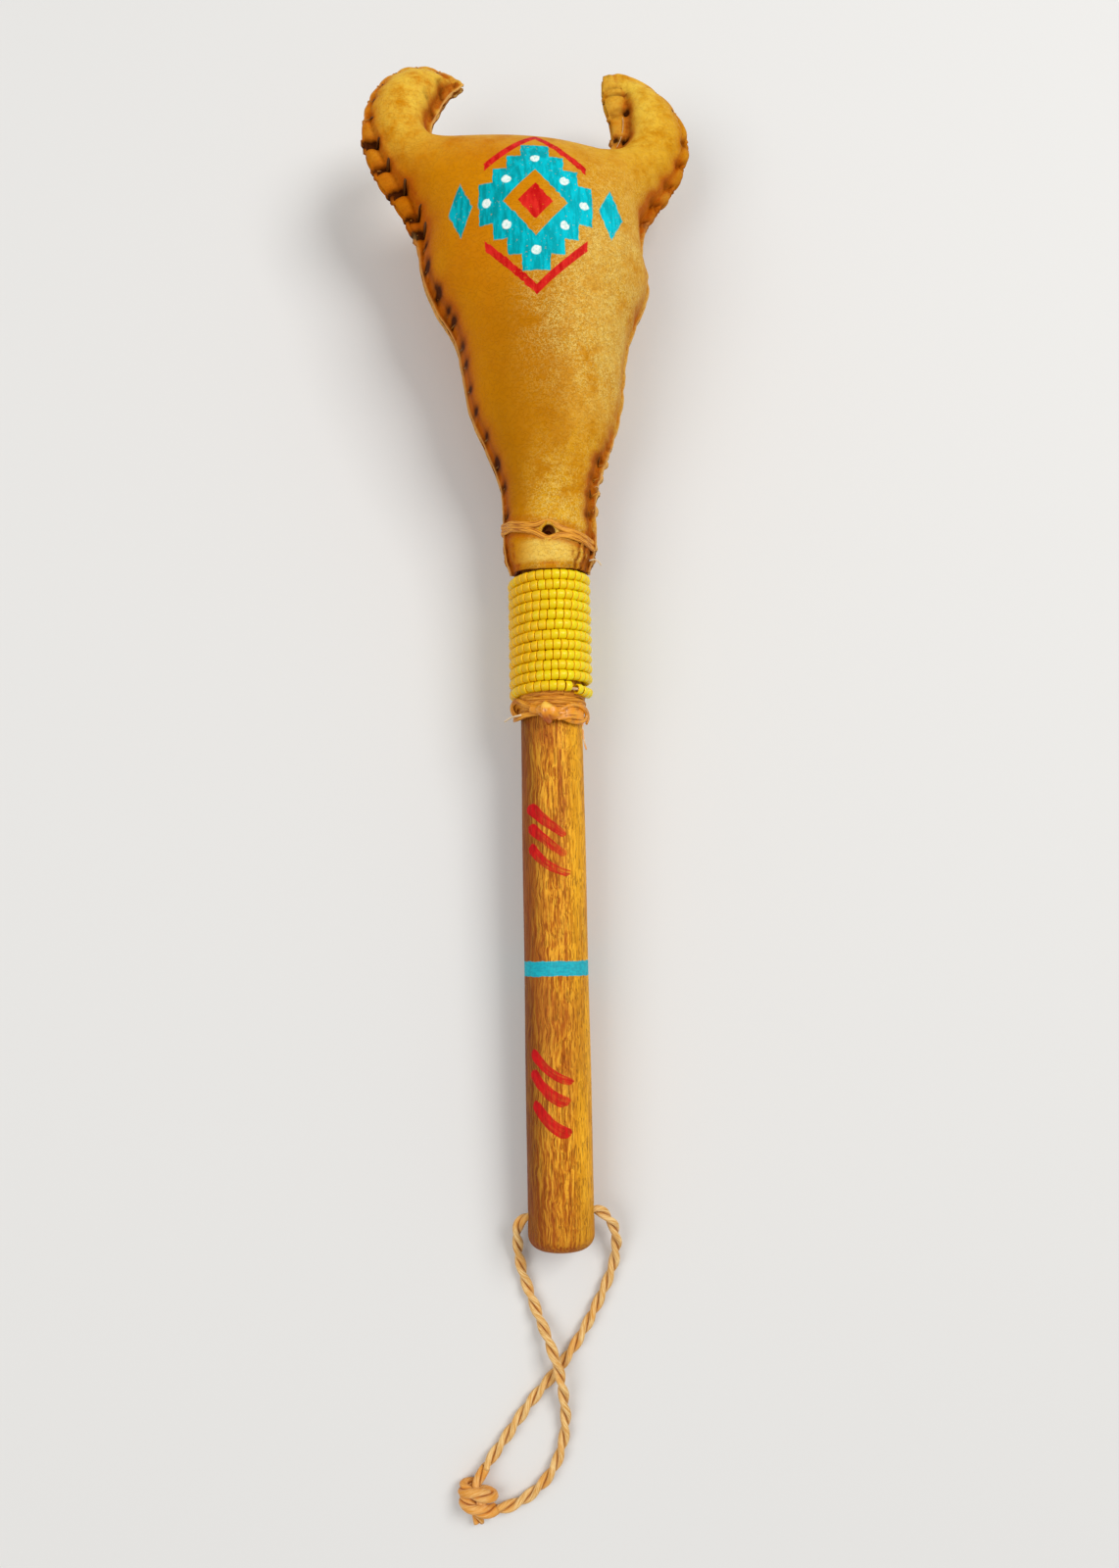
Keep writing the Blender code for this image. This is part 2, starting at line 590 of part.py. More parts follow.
peg_foot = (0, PEG_HOLE_PLACE, TENON_RADIUS - PEG_HOLE_DEPTH)
peg_top = (0, PEG_HOLE_PLACE, 2 * TENON_RADIUS)
bore(handle, "peg_hole_cutter", PEG_HOLE_RADIUS, peg_foot, peg_top)
bore(front_panel, "neck_hole_cutter", PEG_HOLE_RADIUS, peg_foot, peg_top)

# Neck tie: two turns of sinew over the hide and both flanges, tilted down to the right
neck_low, neck_high = neck_edge(runs[0], TIE_PLACE), neck_edge(runs[2], TIE_PLACE)
neck_top = front_surface[np.abs(flat[:, 1] - TIE_PLACE) < TIE_TURNS * TIE_PITCH][:, 2].max()
tie_reach = GAP + TIE_THICKNESS / 2 + TIE_SLACK
tie = winding((neck_high - neck_low) / 2 + tie_reach, neck_top + tie_reach,
              TIE_PLACE - TIE_TURNS * TIE_PITCH / 2, TIE_PITCH, TIE_TURNS, math.pi, TIE_THICKNESS)
tie[:, 0] += (neck_high + neck_low) / 2
tie[:, 1] += TIE_TILT * tie[:, 0]
half_turn = math.pi * BAND_RADIUS
print("neck_tie least gap to itself, mm", round(1000 * least_gap(tie, TIE_THICKNESS, half_turn), 2))
tube("neck_tie", tie, TIE_THICKNESS, 1, sinew, frame)

# Bead strand: one thread of beads wound round the handle, up to the neck
bead = BEAD_ROW_PITCH - BEAD_SELF_GAP
bead_top = NECK_END - GAP - bead / 2
bead_line = winding(BAND_RADIUS + GAP * 2 + bead / 2, BAND_RADIUS + GAP * 2 + bead / 2,
                    bead_top - BEAD_ROWS * BEAD_ROW_PITCH, BEAD_ROW_PITCH, BEAD_ROWS, 0.0, bead)
print("bead_strand least gap to itself, mm", round(1000 * least_gap(bead_line, bead, half_turn), 2))
tube("bead_strand", bead_line, bead, 1, bead_glass, frame)

# Sinew wrap under the beads, and its knot on the face side, seated on the handle
wrap_radius = BAND_RADIUS + GAP * 2 + WRAP_THICKNESS / 2
wrap_top = bead_line[:, 1].min() - bead / 2 - GAP - WRAP_THICKNESS / 2
wrap_foot = wrap_top - WRAP_TURNS * WRAP_PITCH
wrap_line = winding(wrap_radius, wrap_radius, wrap_foot, WRAP_PITCH, WRAP_TURNS,
                    (WRAP_KNOT_RADII[0] + 2 * GAP + WRAP_THICKNESS) / wrap_radius, WRAP_THICKNESS)
print("handle_wrap least gap to itself, mm", round(1000 * least_gap(wrap_line, WRAP_THICKNESS, half_turn), 2))
tube("handle_wrap", wrap_line, WRAP_THICKNESS, 1, sinew, frame)
knot_top = wrap_foot + WRAP_PITCH - (WRAP_THICKNESS / 2 + 2 * GAP)
tied_knot("handle_wrap_knot", WRAP_KNOT_RADII,
     (0, knot_top - WRAP_KNOT_RADII[1], BAND_RADIUS + GAP + WRAP_KNOT_RADII[2]), (0, 0, 0), sinew, frame)

# Lay the rattle down: the lean at which the butt's rim and the head's belly flat meet the table together
bpy.context.view_layer.update()
handle_points, _ = evaluated_points(handle)
low, high = 0.0, STEEPEST_LEAN
for _ in range(HALVINGS):
    lean = (low + high) / 2
    table = lifted(handle_points, lean).min()
    if lifted(back_surface, lean).min() + BELLY_FLAT_DEPTH < table:
        low = lean
    else:
        high = lean
height = lifted(back_surface, lean)
sunk = height < table
along_table = back_surface[:, 1] * math.cos(lean) - back_surface[:, 2] * math.sin(lean)
for index in np.flatnonzero(sunk):
    y, z = along_table[index], table
    back_panel.data.vertices[index].co = (back_surface[index, 0], y * math.cos(lean) + z * math.sin(lean),
                                          z * math.cos(lean) - y * math.sin(lean))
frame.rotation_euler = (lean, 0.0, 0.0)
frame.location = (0.0, 0.0, -table)
bpy.context.view_layer.update()
solid = [o for o in bpy.context.scene.objects if o.type in ("MESH", "CURVE") and not o.hide_render]
everything = np.vstack([evaluated_points(o)[0] for o in solid])
centre = (everything.min(axis=0) + everything.max(axis=0)) / 2
frame.location = (-centre[0], -centre[1], -table)
bpy.context.view_layer.update()
print("lean, degrees", round(math.degrees(lean), 3), "frame", [round(v, 5) for v in frame.location],
      "flat points", int(sunk.sum()))

# Wrist cord: a stretch held in the hole, two free legs, and the knot that joins their ends
held = CORD_IN_HOLE / 2 * through
tube("wrist_cord_bore", [wrist_hole_place - held, wrist_hole_place + held], CORD_THICKNESS, 2, twine, frame)
wrist_hole = frame.matrix_world @ wrist_hole_place
foot = Vector((wrist_hole.x, wrist_hole.y, 0))
for name, control in (("wrist_cord_left", LEFT_LEG), ("wrist_cord_right", RIGHT_LEG)):
    tube(name, smooth_run(control, CORD_STEP) + np.array(foot), CORD_THICKNESS, 2, twine, None)
tied_knot("wrist_cord_knot", END_KNOT_RADII, foot + Vector(END_KNOT), END_KNOT_TAIL, twine, None)

# Pebbles, each lying on the back panel with room to rise as far as the front one
walls = {}
for piece in (back_panel, front_panel):
    corners, polygons = evaluated_points(piece)
    walls[piece] = BVHTree.FromPolygons([Vector(p) for p in corners], polygons)
for index in range(PEBBLE_COUNT):
    name = f"pebble_{index + 1:02d}"
    row, column = divmod(index, PEBBLES_ACROSS)
    rows = PEBBLE_COUNT / PEBBLES_ACROSS
    place = frame.matrix_world @ Vector(((column - (PEBBLES_ACROSS - 1) / 2) * PEBBLE_SPACING,
                                         PEBBLE_FIELD_CENTRE + (row - (rows - 1) / 2) * PEBBLE_SPACING, 0))
    stone_piece = pebble(name, index, stone, None)
    shape = np.array([v.co for v in stone_piece.data.vertices])
    sides = [tuple(f.vertices) for f in stone_piece.data.polygons]
    drop = room(shape, sides, np.array(place), -1.0, walls[back_panel])
    climb = room(shape, sides, np.array(place), 1.0, walls[front_panel])
    stone_piece.location = place - Vector((0, 0, drop))
    print(name, "can rise, mm", round(1000 * (drop + climb), 2))
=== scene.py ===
"""The looks of a rawhide rattle: a buffalo-head pouch of two sewn hide panels on a wooden handle, with a
beaded band, sinew ties and a twisted wrist cord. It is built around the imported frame, in metres."""

import json
import math

import bmesh
import bpy
import numpy as np
from mathutils import Matrix, Vector
from mathutils.geometry import delaunay_2d_cdt
from mathutils.kdtree import KDTree


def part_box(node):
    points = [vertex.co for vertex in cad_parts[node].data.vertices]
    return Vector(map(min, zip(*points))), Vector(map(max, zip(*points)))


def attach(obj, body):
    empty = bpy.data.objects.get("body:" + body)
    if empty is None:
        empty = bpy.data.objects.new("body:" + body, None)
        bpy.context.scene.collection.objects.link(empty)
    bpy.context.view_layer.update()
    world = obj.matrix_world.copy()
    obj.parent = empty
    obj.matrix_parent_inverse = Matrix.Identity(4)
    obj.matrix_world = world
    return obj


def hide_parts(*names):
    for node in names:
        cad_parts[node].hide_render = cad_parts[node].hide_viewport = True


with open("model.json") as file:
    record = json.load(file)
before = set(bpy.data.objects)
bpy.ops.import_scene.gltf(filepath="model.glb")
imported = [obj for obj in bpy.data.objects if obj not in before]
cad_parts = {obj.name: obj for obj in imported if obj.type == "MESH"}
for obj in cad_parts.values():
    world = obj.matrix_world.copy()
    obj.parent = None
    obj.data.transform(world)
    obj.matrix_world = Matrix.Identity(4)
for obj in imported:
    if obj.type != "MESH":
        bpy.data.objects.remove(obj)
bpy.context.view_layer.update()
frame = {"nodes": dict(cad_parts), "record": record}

# Camera: a phone held over the handle, tipped a little towards the head. Its lens and place give the
# photograph's view of a 1142 by 1600 frame, in which 1200 pixels are one focal length.
bpy.ops.object.select_all(action="DESELECT")
bpy.ops.object.camera_add(location=(0.00613, -0.11029, 0.36545))
camera = bpy.context.object
camera.rotation_mode = "ZYX"
camera.rotation_euler = (math.radians(9.827), 0.0, math.radians(-1.13))
camera.data.sensor_fit = "VERTICAL"
camera.data.sensor_height = 24.0
camera.data.lens = camera.data.sensor_height * 1200 / 1600
camera.data.clip_start = 0.01
bpy.context.scene.camera = camera
bpy.context.scene.view_settings.view_transform = "Standard"


# Wrist cord: two-ply twisted twine through the slanted hole near the handle's butt. Both free legs lie on
# the table, the left one over the right, and a knot joins their ends.
CORD_THICKNESS = 0.0032
CORD_LAY = 0.0127
PLY_OUTWARD = 0.00084
PLY_ACROSS = 0.00092
PLY_SIDES = 14
RING_SPACING = 0.0005
LEFT_ROUTE = [
    (-0.0082, -0.0007, 0.0099), (-0.0104, -0.0014, 0.0095), (-0.0120, -0.0029, 0.0086), (-0.0127, -0.0052, 0.0071),
    (-0.0128, -0.0083, 0.0052), (-0.0126, -0.0116, 0.0036), (-0.0121, -0.0154, 0.0024), (-0.0109, -0.0200, 0.0018),
    (-0.0092, -0.0246, 0.0017), (-0.0077, -0.0285, 0.0021), (-0.0061, -0.0322, 0.0030), (-0.0045, -0.0357, 0.0041),
    (-0.0031, -0.0394, 0.0049), (-0.0016, -0.0438, 0.00525), (-0.0006, -0.0484, 0.0046), (0.0000, -0.0535, 0.0032),
    (0.0002, -0.0584, 0.0020), (-0.0004, -0.0630, 0.0017), (-0.0018, -0.0676, 0.0017), (-0.0044, -0.0724, 0.0017),
    (-0.0087, -0.0767, 0.0017), (-0.0134, -0.0796, 0.0019), (-0.0172, -0.0807, 0.0025), (-0.0200, -0.0808, 0.0031),
]
RIGHT_ROUTE = [
    (0.0082, 0.0007, 0.0099), (0.0103, 0.0006, 0.0098), (0.0124, -0.0006, 0.0093), (0.0143, -0.0028, 0.0081),
    (0.0156, -0.0058, 0.0064), (0.0160, -0.0093, 0.0046), (0.0157, -0.0130, 0.0030), (0.0148, -0.0167, 0.0020),
    (0.0134, -0.0202, 0.0017), (0.0117, -0.0238, 0.0017), (0.0095, -0.0280, 0.0017), (0.0069, -0.0326, 0.0017),
    (0.0037, -0.0376, 0.0017), (0.0001, -0.0424, 0.0017), (-0.0045, -0.0476, 0.0017), (-0.0087, -0.0521, 0.0017),
    (-0.0124, -0.0566, 0.0017), (-0.0159, -0.0612, 0.0017), (-0.0191, -0.0653, 0.0018), (-0.0215, -0.0683, 0.0022),
    (-0.0230, -0.0703, 0.0028),
]
KNOT_CORE = [
    (-0.0230, -0.0703, 0.0028), (-0.0241, -0.0719, 0.0033), (-0.0254, -0.0742, 0.0037), (-0.0261, -0.0772, 0.0037),
    (-0.0258, -0.0806, 0.0030), (-0.0252, -0.0832, 0.0022), (-0.0249, -0.0848, 0.0018),
]
KNOT_HEART = [(-0.0232, -0.0768, 0.0032), (-0.0244, -0.0778, 0.0034), (-0.0256, -0.0788, 0.0034)]
KNOT_WRAP = [
    (-0.0200, -0.0808, 0.0031), (-0.0218, -0.0810, 0.0042), (-0.0244, -0.0804, 0.0053), (-0.0272, -0.0794, 0.0050),
    (-0.0291, -0.0780, 0.0034), (-0.0286, -0.0772, 0.0018), (-0.0260, -0.0767, 0.0014), (-0.0230, -0.0769, 0.0017),
    (-0.0210, -0.0774, 0.0031), (-0.0220, -0.0769, 0.0049), (-0.0246, -0.0762, 0.0056), (-0.0273, -0.0758, 0.0050),
    (-0.0292, -0.0754, 0.0034), (-0.0287, -0.0750, 0.0019), (-0.0266, -0.0748, 0.0015),
]


class Wire:
    """A socket of a material's node tree, so that shader maths reads as plain expressions."""

    def __init__(self, tree, socket=None):
        self.tree = tree
        self.socket = socket

    def node(self, kind, settings, inputs, output=0):
        """Any node: its settings first, then the values or wires of its sockets."""
        made = self.tree.nodes.new(kind)
        for name, value in settings.items():
            setattr(made, name, value)
        for key, value in inputs.items():
            if isinstance(value, Wire):
                self.tree.links.new(value.socket, made.inputs[key])
            else:
                made.inputs[key].default_value = value
        return Wire(self.tree, made.outputs[output])

    def maths(self, operation, *others, clamp=False):
        settings = {"operation": operation, "use_clamp": clamp}
        return self.node("ShaderNodeMath", settings, dict(enumerate((self, *others))))

    def __add__(self, other):
        return self.maths("ADD", other)

    def __radd__(self, other):
        return self.maths("ADD", other)

    def __sub__(self, other):
        return self.maths("SUBTRACT", other)

    def __rsub__(self, other):
        return self.node("ShaderNodeMath", {"operation": "SUBTRACT"}, {0: other, 1: self})

    def __mul__(self, other):
        return self.maths("MULTIPLY", other)

    def __rmul__(self, other):
        return self.maths("MULTIPLY", other)

    def __truediv__(self, other):
        return self.maths("DIVIDE", other)

    def __abs__(self):
        return self.maths("ABSOLUTE")

    def most(self, other):
        return self.maths("MAXIMUM", other)

    def fade(self, start, end):
        """0 at start, 1 at end, eased between. Start may be the larger."""
        eased = {"data_type": "FLOAT", "interpolation_type": "SMOOTHSTEP", "clamp": True}
        if start < end:
            return self.node("ShaderNodeMapRange", eased, {0: self, 1: start, 2: end, 3: 0.0, 4: 1.0})
        return self.node("ShaderNodeMapRange", eased, {0: self, 1: end, 2: start, 3: 1.0, 4: 0.0})

    def over(self, under, paint):
        """This mask's paint over an under colour. Either is a wire or an sRGB triple."""
        inputs = {0: self}
        for key, value in {6: under, 7: paint}.items():
            inputs[key] = value if isinstance(value, Wire) else (*linear(value), 1.0)
        return self.node("ShaderNodeMix", {"data_type": "RGBA", "clamp_factor": True}, inputs, output=2)


def linear(srgb):
    """Linear light of a colour given in 0 to 255 display values."""
    return [(c / 255 / 12.92) if c <= 10 else ((c / 255 + 0.055) / 1.055) ** 2.4 for c in srgb]


def finish(name, build, **constants):
    """A material whose build function returns the wires that change over the surface."""
    made = bpy.data.materials.new(name)
    made.use_nodes = True
    tree = made.node_tree
    shader = tree.nodes["Principled BSDF"]
    for key, value in constants.items():
        shader.inputs[key.replace("_", " ")].default_value = value
    for key, wire in build(Wire(tree)).items():
        tree.links.new(wire.socket, shader.inputs[key])
    return made


def noise(wire, where, scale, detail=3.0, roughness=0.55):
    return wire.node("ShaderNodeTexNoise", {"noise_dimensions": "3D"},
                     {"Vector": where, "Scale": scale, "Detail": detail, "Roughness": roughness})


def stretched(wire, where, x, y, z):
    return wire.node("ShaderNodeMapping", {"vector_type": "POINT"}, {"Vector": where, "Scale": (x, y, z)})


def attribute(wire, name):
    return wire.node("ShaderNodeAttribute", {"attribute_name": name}, {}, output=2)


def bumped(wire, height, distance, strength=1.0):
    return wire.node("ShaderNodeBump", {}, {"Strength": strength, "Distance": distance, "Height": height})


def smooth_run(control, spacing):
    """Points a given spacing apart along a centripetal Catmull-Rom curve through the control points."""
    c = np.array(control, float)
    c = np.vstack([2 * c[0] - c[1], c, 2 * c[-1] - c[-2]])
    dense = []
    for i in range(len(c) - 3):
        p = c[i:i + 4]
        t = np.concatenate([[0.0], np.cumsum(np.sqrt(np.linalg.norm(np.diff(p, axis=0), axis=1)))])
        for u in np.linspace(t[1], t[2], 24, endpoint=False):
            a = [(t[k + 1] - u) / (t[k + 1] - t[k]) * p[k] + (u - t[k]) / (t[k + 1] - t[k]) * p[k + 1]
                 for k in range(3)]
            b = [(t[k + 2] - u) / (t[k + 2] - t[k]) * a[k] + (u - t[k]) / (t[k + 2] - t[k]) * a[k + 1]
                 for k in range(2)]
            dense.append((t[2] - u) / (t[2] - t[1]) * b[0] + (u - t[1]) / (t[2] - t[1]) * b[1])
    dense = np.array(dense + [c[-2]])
    along = lengths(dense)
    wanted = np.linspace(0.0, along[-1], max(2, round(along[-1] / spacing)) + 1)
    return np.stack([np.interp(wanted, along, dense[:, k]) for k in range(dense.shape[1])], axis=1)


def lengths(path):
    """Length from the first point to each point of a path."""
    return np.concatenate([[0.0], np.cumsum(np.linalg.norm(np.diff(path, axis=0), axis=1))])


def units(vectors):
    return vectors / np.maximum(np.linalg.norm(vectors, axis=1), 1e-12)[:, None]


def carried_normals(path, first):
    """A normal at each point of a path, carried along it without turning about it."""
    ways = units(np.gradient(path, axis=0))
    normals, n = [], np.array(first, float)
    for way in ways:
        n = n - way * (n @ way)
        n /= np.linalg.norm(n)
        normals.append(n)
    return np.array(normals)


def oval(across, outward, sides):
    angles = [2 * math.pi * k / sides for k in range(sides)]
    return [(across * math.cos(a), outward * math.sin(a)) for a in angles]


def swept(work, path, normals, section, sizes=None, tone=0.5):
    """Sweeps a closed section along a path into a bmesh, capped, with a map of length and angle."""
    ways = units(np.gradient(path, axis=0))
    sides = np.cross(ways, normals)
    sizes = np.ones(len(path)) if sizes is None else sizes
    tones = np.broadcast_to(tone, len(path))
    uv = work.loops.layers.uv.verify()
    shade = work.verts.layers.float.get("tone") or work.verts.layers.float.new("tone")
    along = lengths(path)
    rings = []
    for p, n, s, size, value in zip(path, normals, sides, sizes, tones):
        ring = [work.verts.new(p + size * (a * s + b * n)) for a, b in section]
        for v in ring:
            v[shade] = value
        rings.append(ring)
    count = len(section)
    for i in range(len(rings) - 1):
        for k in range(count):
            n = (k + 1) % count
            face = work.faces.new((rings[i][k], rings[i][n], rings[i + 1][n], rings[i + 1][k]))
            face.smooth = True
            corners = ((i, k), (i, k + 1), (i + 1, k + 1), (i + 1, k))
            for loop, (row, column) in zip(face.loops, corners):
                loop[uv].uv = (along[row] * 1000, column / count)
    work.faces.new(rings[0][::-1])
    work.faces.new(rings[-1])


def piece_from(name, work, material):
    """A finished piece at the origin from a bmesh, with its faces pointing outwards."""
    bmesh.ops.recalc_face_normals(work, faces=work.faces)
    mesh = bpy.data.meshes.new(name)
    work.to_mesh(mesh)
    work.free()
    mesh.materials.append(material)
    made = bpy.data.objects.new(name, mesh)
    bpy.context.scene.collection.objects.link(made)
    return made


def strand_map(wire, along, around):
    """Noise coordinates that run with a strand: stretched along it and fine around it."""
    where = wire.node("ShaderNodeTexCoord", {}, {}, output=2)
    length = wire.node("ShaderNodeSeparateXYZ", {}, {0: where})
    angle = wire.node("ShaderNodeSeparateXYZ", {}, {0: where}, output=1)
    turn = angle * (2 * math.pi)
    return wire.node("ShaderNodeCombineXYZ", {}, {0: length * along, 1: turn.maths("SINE") * around,
                                                  2: turn.maths("COSINE") * around})


def twine_finish(wire):
    fibres = noise(wire, strand_map(wire, 0.30, 2.6), 1.0, 4.0, 0.65)
    patches = noise(wire, wire.node("ShaderNodeTexCoord", {}, {}, output=3), 160.0)
    groove_shade = attribute(wire, "tone")
    colour = fibres.fade(0.32, 0.66).over((206, 144, 56), (246, 208, 142))
    colour = (patches.fade(0.48, 0.68) * 0.6).over(colour, (226, 156, 62))
    # Painted shade: each ply is darkened on its inner side, where it lies in the groove between the plies.
    colour = (groove_shade.fade(0.52, 0.92) * 0.70).over(colour, (184, 110, 30))
    return {"Base Color": colour, "Normal": bumped(wire, fibres, 0.00022)}


def handled_twine_finish(wire):
    """The knot's twine, drawn hard and deepened to orange by handling."""
    look = twine_finish(wire)
    patches = noise(wire, wire.node("ShaderNodeTexCoord", {}, {}, output=3), 280.0)
    look["Base Color"] = (patches.fade(0.36, 0.64) * 0.35 + 0.30).over(look["Base Color"], (224, 140, 28))
    return look


twine_look = {"Roughness": 0.6, "Sheen_Weight": 0.1, "Specular_IOR_Level": 0.18}
twine = finish("wrist twine", twine_finish, **twine_look)
bore_low, bore_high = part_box("wrist_cord_bore")
hole = np.array((bore_low + bore_high) / 2)
foot = np.array([hole[0], hole[1], 0.0])
left_run = smooth_run(LEFT_ROUTE, RING_SPACING) + foot
right_run = smooth_run(RIGHT_ROUTE, RING_SPACING) + foot
bore_run = np.linspace(left_run[0], right_run[0], 34)[1:-1]
whole = np.vstack([left_run[::-1], bore_run, right_run])
upright = carried_normals(whole, (0, 0, 1))


def two_ply(work, path, normals, turn, across=PLY_ACROSS, outward=PLY_OUTWARD):
    """Two plies twisted the S way along a path. A ply's inner side, which lies in the groove, gets a tone by which the
    twine's finish paints it darker as shade.
    """
    sides = np.cross(units(np.gradient(path, axis=0)), normals)
    for ply in (0.0, math.pi):
        out = np.cos(turn + ply)[:, None] * normals - np.sin(turn + ply)[:, None] * sides
        before = len(work.verts)
        swept(work, path + 0.95 * outward * out, out, oval(across, outward, PLY_SIDES))
        shade = work.verts.layers.float["tone"]
        work.verts.ensure_lookup_table()
        for index in range(before, len(work.verts)):
            work.verts[index][shade] = 0.5 - 0.5 * math.sin(2 * math.pi * ((index - before) % PLY_SIDES) / PLY_SIDES)


def cord_piece(name, first, last):
    work = bmesh.new()
    span = slice(first, last)
    two_ply(work, whole[span], upright[span], (2 * math.pi * lengths(whole) / CORD_LAY)[span])
    return piece_from(name, work, twine)


def knot_piece():
    """The end knot: the left leg wraps twice round the right one, whose cut end shows as a short tail."""
    work = bmesh.new()
    carried_on = 2 * math.pi * lengths(whole)[-1] / CORD_LAY
    for route, fat, start in ((KNOT_CORE, 1.04, carried_on), (KNOT_HEART, 1.75, 0.0), (KNOT_WRAP, 1.22, 0.0)):
        line = smooth_run(route, RING_SPACING) + foot
        two_ply(work, line, carried_normals(line, (0, 0, 1)), 2 * math.pi * lengths(line) / CORD_LAY + start,
                PLY_ACROSS * 1.10 * fat, PLY_OUTWARD * 0.90 * fat)
    for v in work.verts:
        v.co.z = max(v.co.z, 0.0001)
    return piece_from("cord_end_knot", work, finish("handled twine", handled_twine_finish, **twine_look))


cut_left, cut_right = len(left_run), len(left_run) + len(bore_run)
cord_left = cord_piece("cord_left_leg", 0, cut_left)
cord_bore = cord_piece("cord_in_handle", cut_left - 1, cut_right + 1)
cord_right = cord_piece("cord_right_leg", cut_right, len(whole))
cord_knot = knot_piece()
for piece, node in ((cord_left, "wrist_cord_left"), (cord_bore, "wrist_cord_bore"),
                    (cord_right, "wrist_cord_right"), (cord_knot, "wrist_cord_knot")):
    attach(piece, "rattle")
    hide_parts(node)


# Handle: a turned dowel with a rounded butt, bored across for the cord and from the face near the neck.
# Its red strokes and turquoise band are brushed on the bare, oiled wood.
butt = next(m for m in frame["record"]["mounts"] if m["name"] == "butt_end")
LEAN = math.asin(-butt["axis"][2])
LAID = Matrix.Translation(butt["pos_m"]) @ Matrix.Rotation(LEAN, 4, "X")
HANDLE_LENGTH = 0.236
BUTT_RADIUS = 0.00965
BAND_RADIUS = 0.00925
TENON_RADIUS = 0.0087
NECK_END = 0.1975
BUTT_ROUNDING = 0.004
HANDLE_SIDES = 96
HANDLE_WAVE = 0.00006
CORD_HOLE_PLACE = 0.0098
CORD_HOLE_SLANT = math.radians(5.0)
CORD_HOLE_RADIUS = CORD_THICKNESS / 2 + 0.00045
PEG_HOLE_RADIUS = 0.0014
PEG_HOLE_PLACE = 0.2087
PEG_HOLE_DEPTH = 0.0016
RED = (206, 12, 20)
TURQUOISE = (0, 178, 192)
STROKES_MM = [
    # start, end, how far the middle bows, half width at the start and at the end, how dry the brush ran
    ((-6.6, 126.4), (3.2, 118.3), -0.3, 1.80, 1.10, 0.30), ((-6.4, 120.6), (3.2, 112.6), -0.4, 1.60, 1.15, 0.50),
    ((-6.5, 114.6), (4.2, 107.0), -1.3, 1.55, 1.05, 0.55), ((-6.9, 55.6), (3.8, 47.6), -1.3, 1.40, 1.15, 0.35),
    ((-7.1, 50.3), (1.9, 42.0), -1.2, 1.35, 1.85, 0.20), ((-6.6, 41.6), (2.1, 33.3), -1.0, 1.35, 1.90, 0.15),
]
BAND_MM = 79.6


def straight_place(wire):
    """Object coordinates in millimetres along the straight handle: across, along from the butt, and up."""
    where = wire.node("ShaderNodeTexCoord", {}, {}, output=3)
    back = Matrix.Rotation(-LEAN, 4, "X") @ Matrix.Translation(-Vector(butt["pos_m"]))
    spot = wire.node("ShaderNodeMapping", {"vector_type": "POINT"},
                     {"Vector": where, "Location": back.translation * 1000, "Rotation": (-LEAN, 0, 0),
                      "Scale": (1000, 1000, 1000)})
    parts = [wire.node("ShaderNodeSeparateXYZ", {}, {0: spot}, output=k) for k in range(3)]
    return spot, parts[0], parts[1], parts[2]


def brush_stroke(wire, x, y, stroke):
    """Mask of one bowed, tapering stroke, thinner where the brush ran dry towards its end."""
    (ax, ay), (bx, by), bow, half_start, half_end, dry = stroke
    half_length = math.hypot(bx - ax, by - ay) / 2
    cx, cy = (bx - ax) / (2 * half_length), (by - ay) / (2 * half_length)
    mx, my = (ax + bx) / 2, (ay + by) / 2
    u = (x - mx) * cx + (y - my) * cy
    v = (y - my) * cx - (x - mx) * cy
    t = u / half_length
    w = v - (1.0 - t * t) * bow
    half = t * ((half_end - half_start) / 2) + (half_end + half_start) / 2
    reach = half_length - (half_start + half_end) / 4
    past = (abs(u) - reach).most(0.0)
    where = wire.node("ShaderNodeCombineXYZ", {}, {0: u * 0.22, 1: w * 1.9, 2: my})
    bristles = noise(wire, where, 1.0, 3.0, 0.6)
    gap = (w * w + past * past).maths("SQRT") - half + (bristles - 0.5) * 0.9
    body = gap.fade(0.16, -0.20)
    run_dry = (t + 1.0) * (0.5 * dry)
    return body * (1.0 - bristles.fade(0.40, 0.62) * run_dry) * (1.0 - run_dry * 0.25)


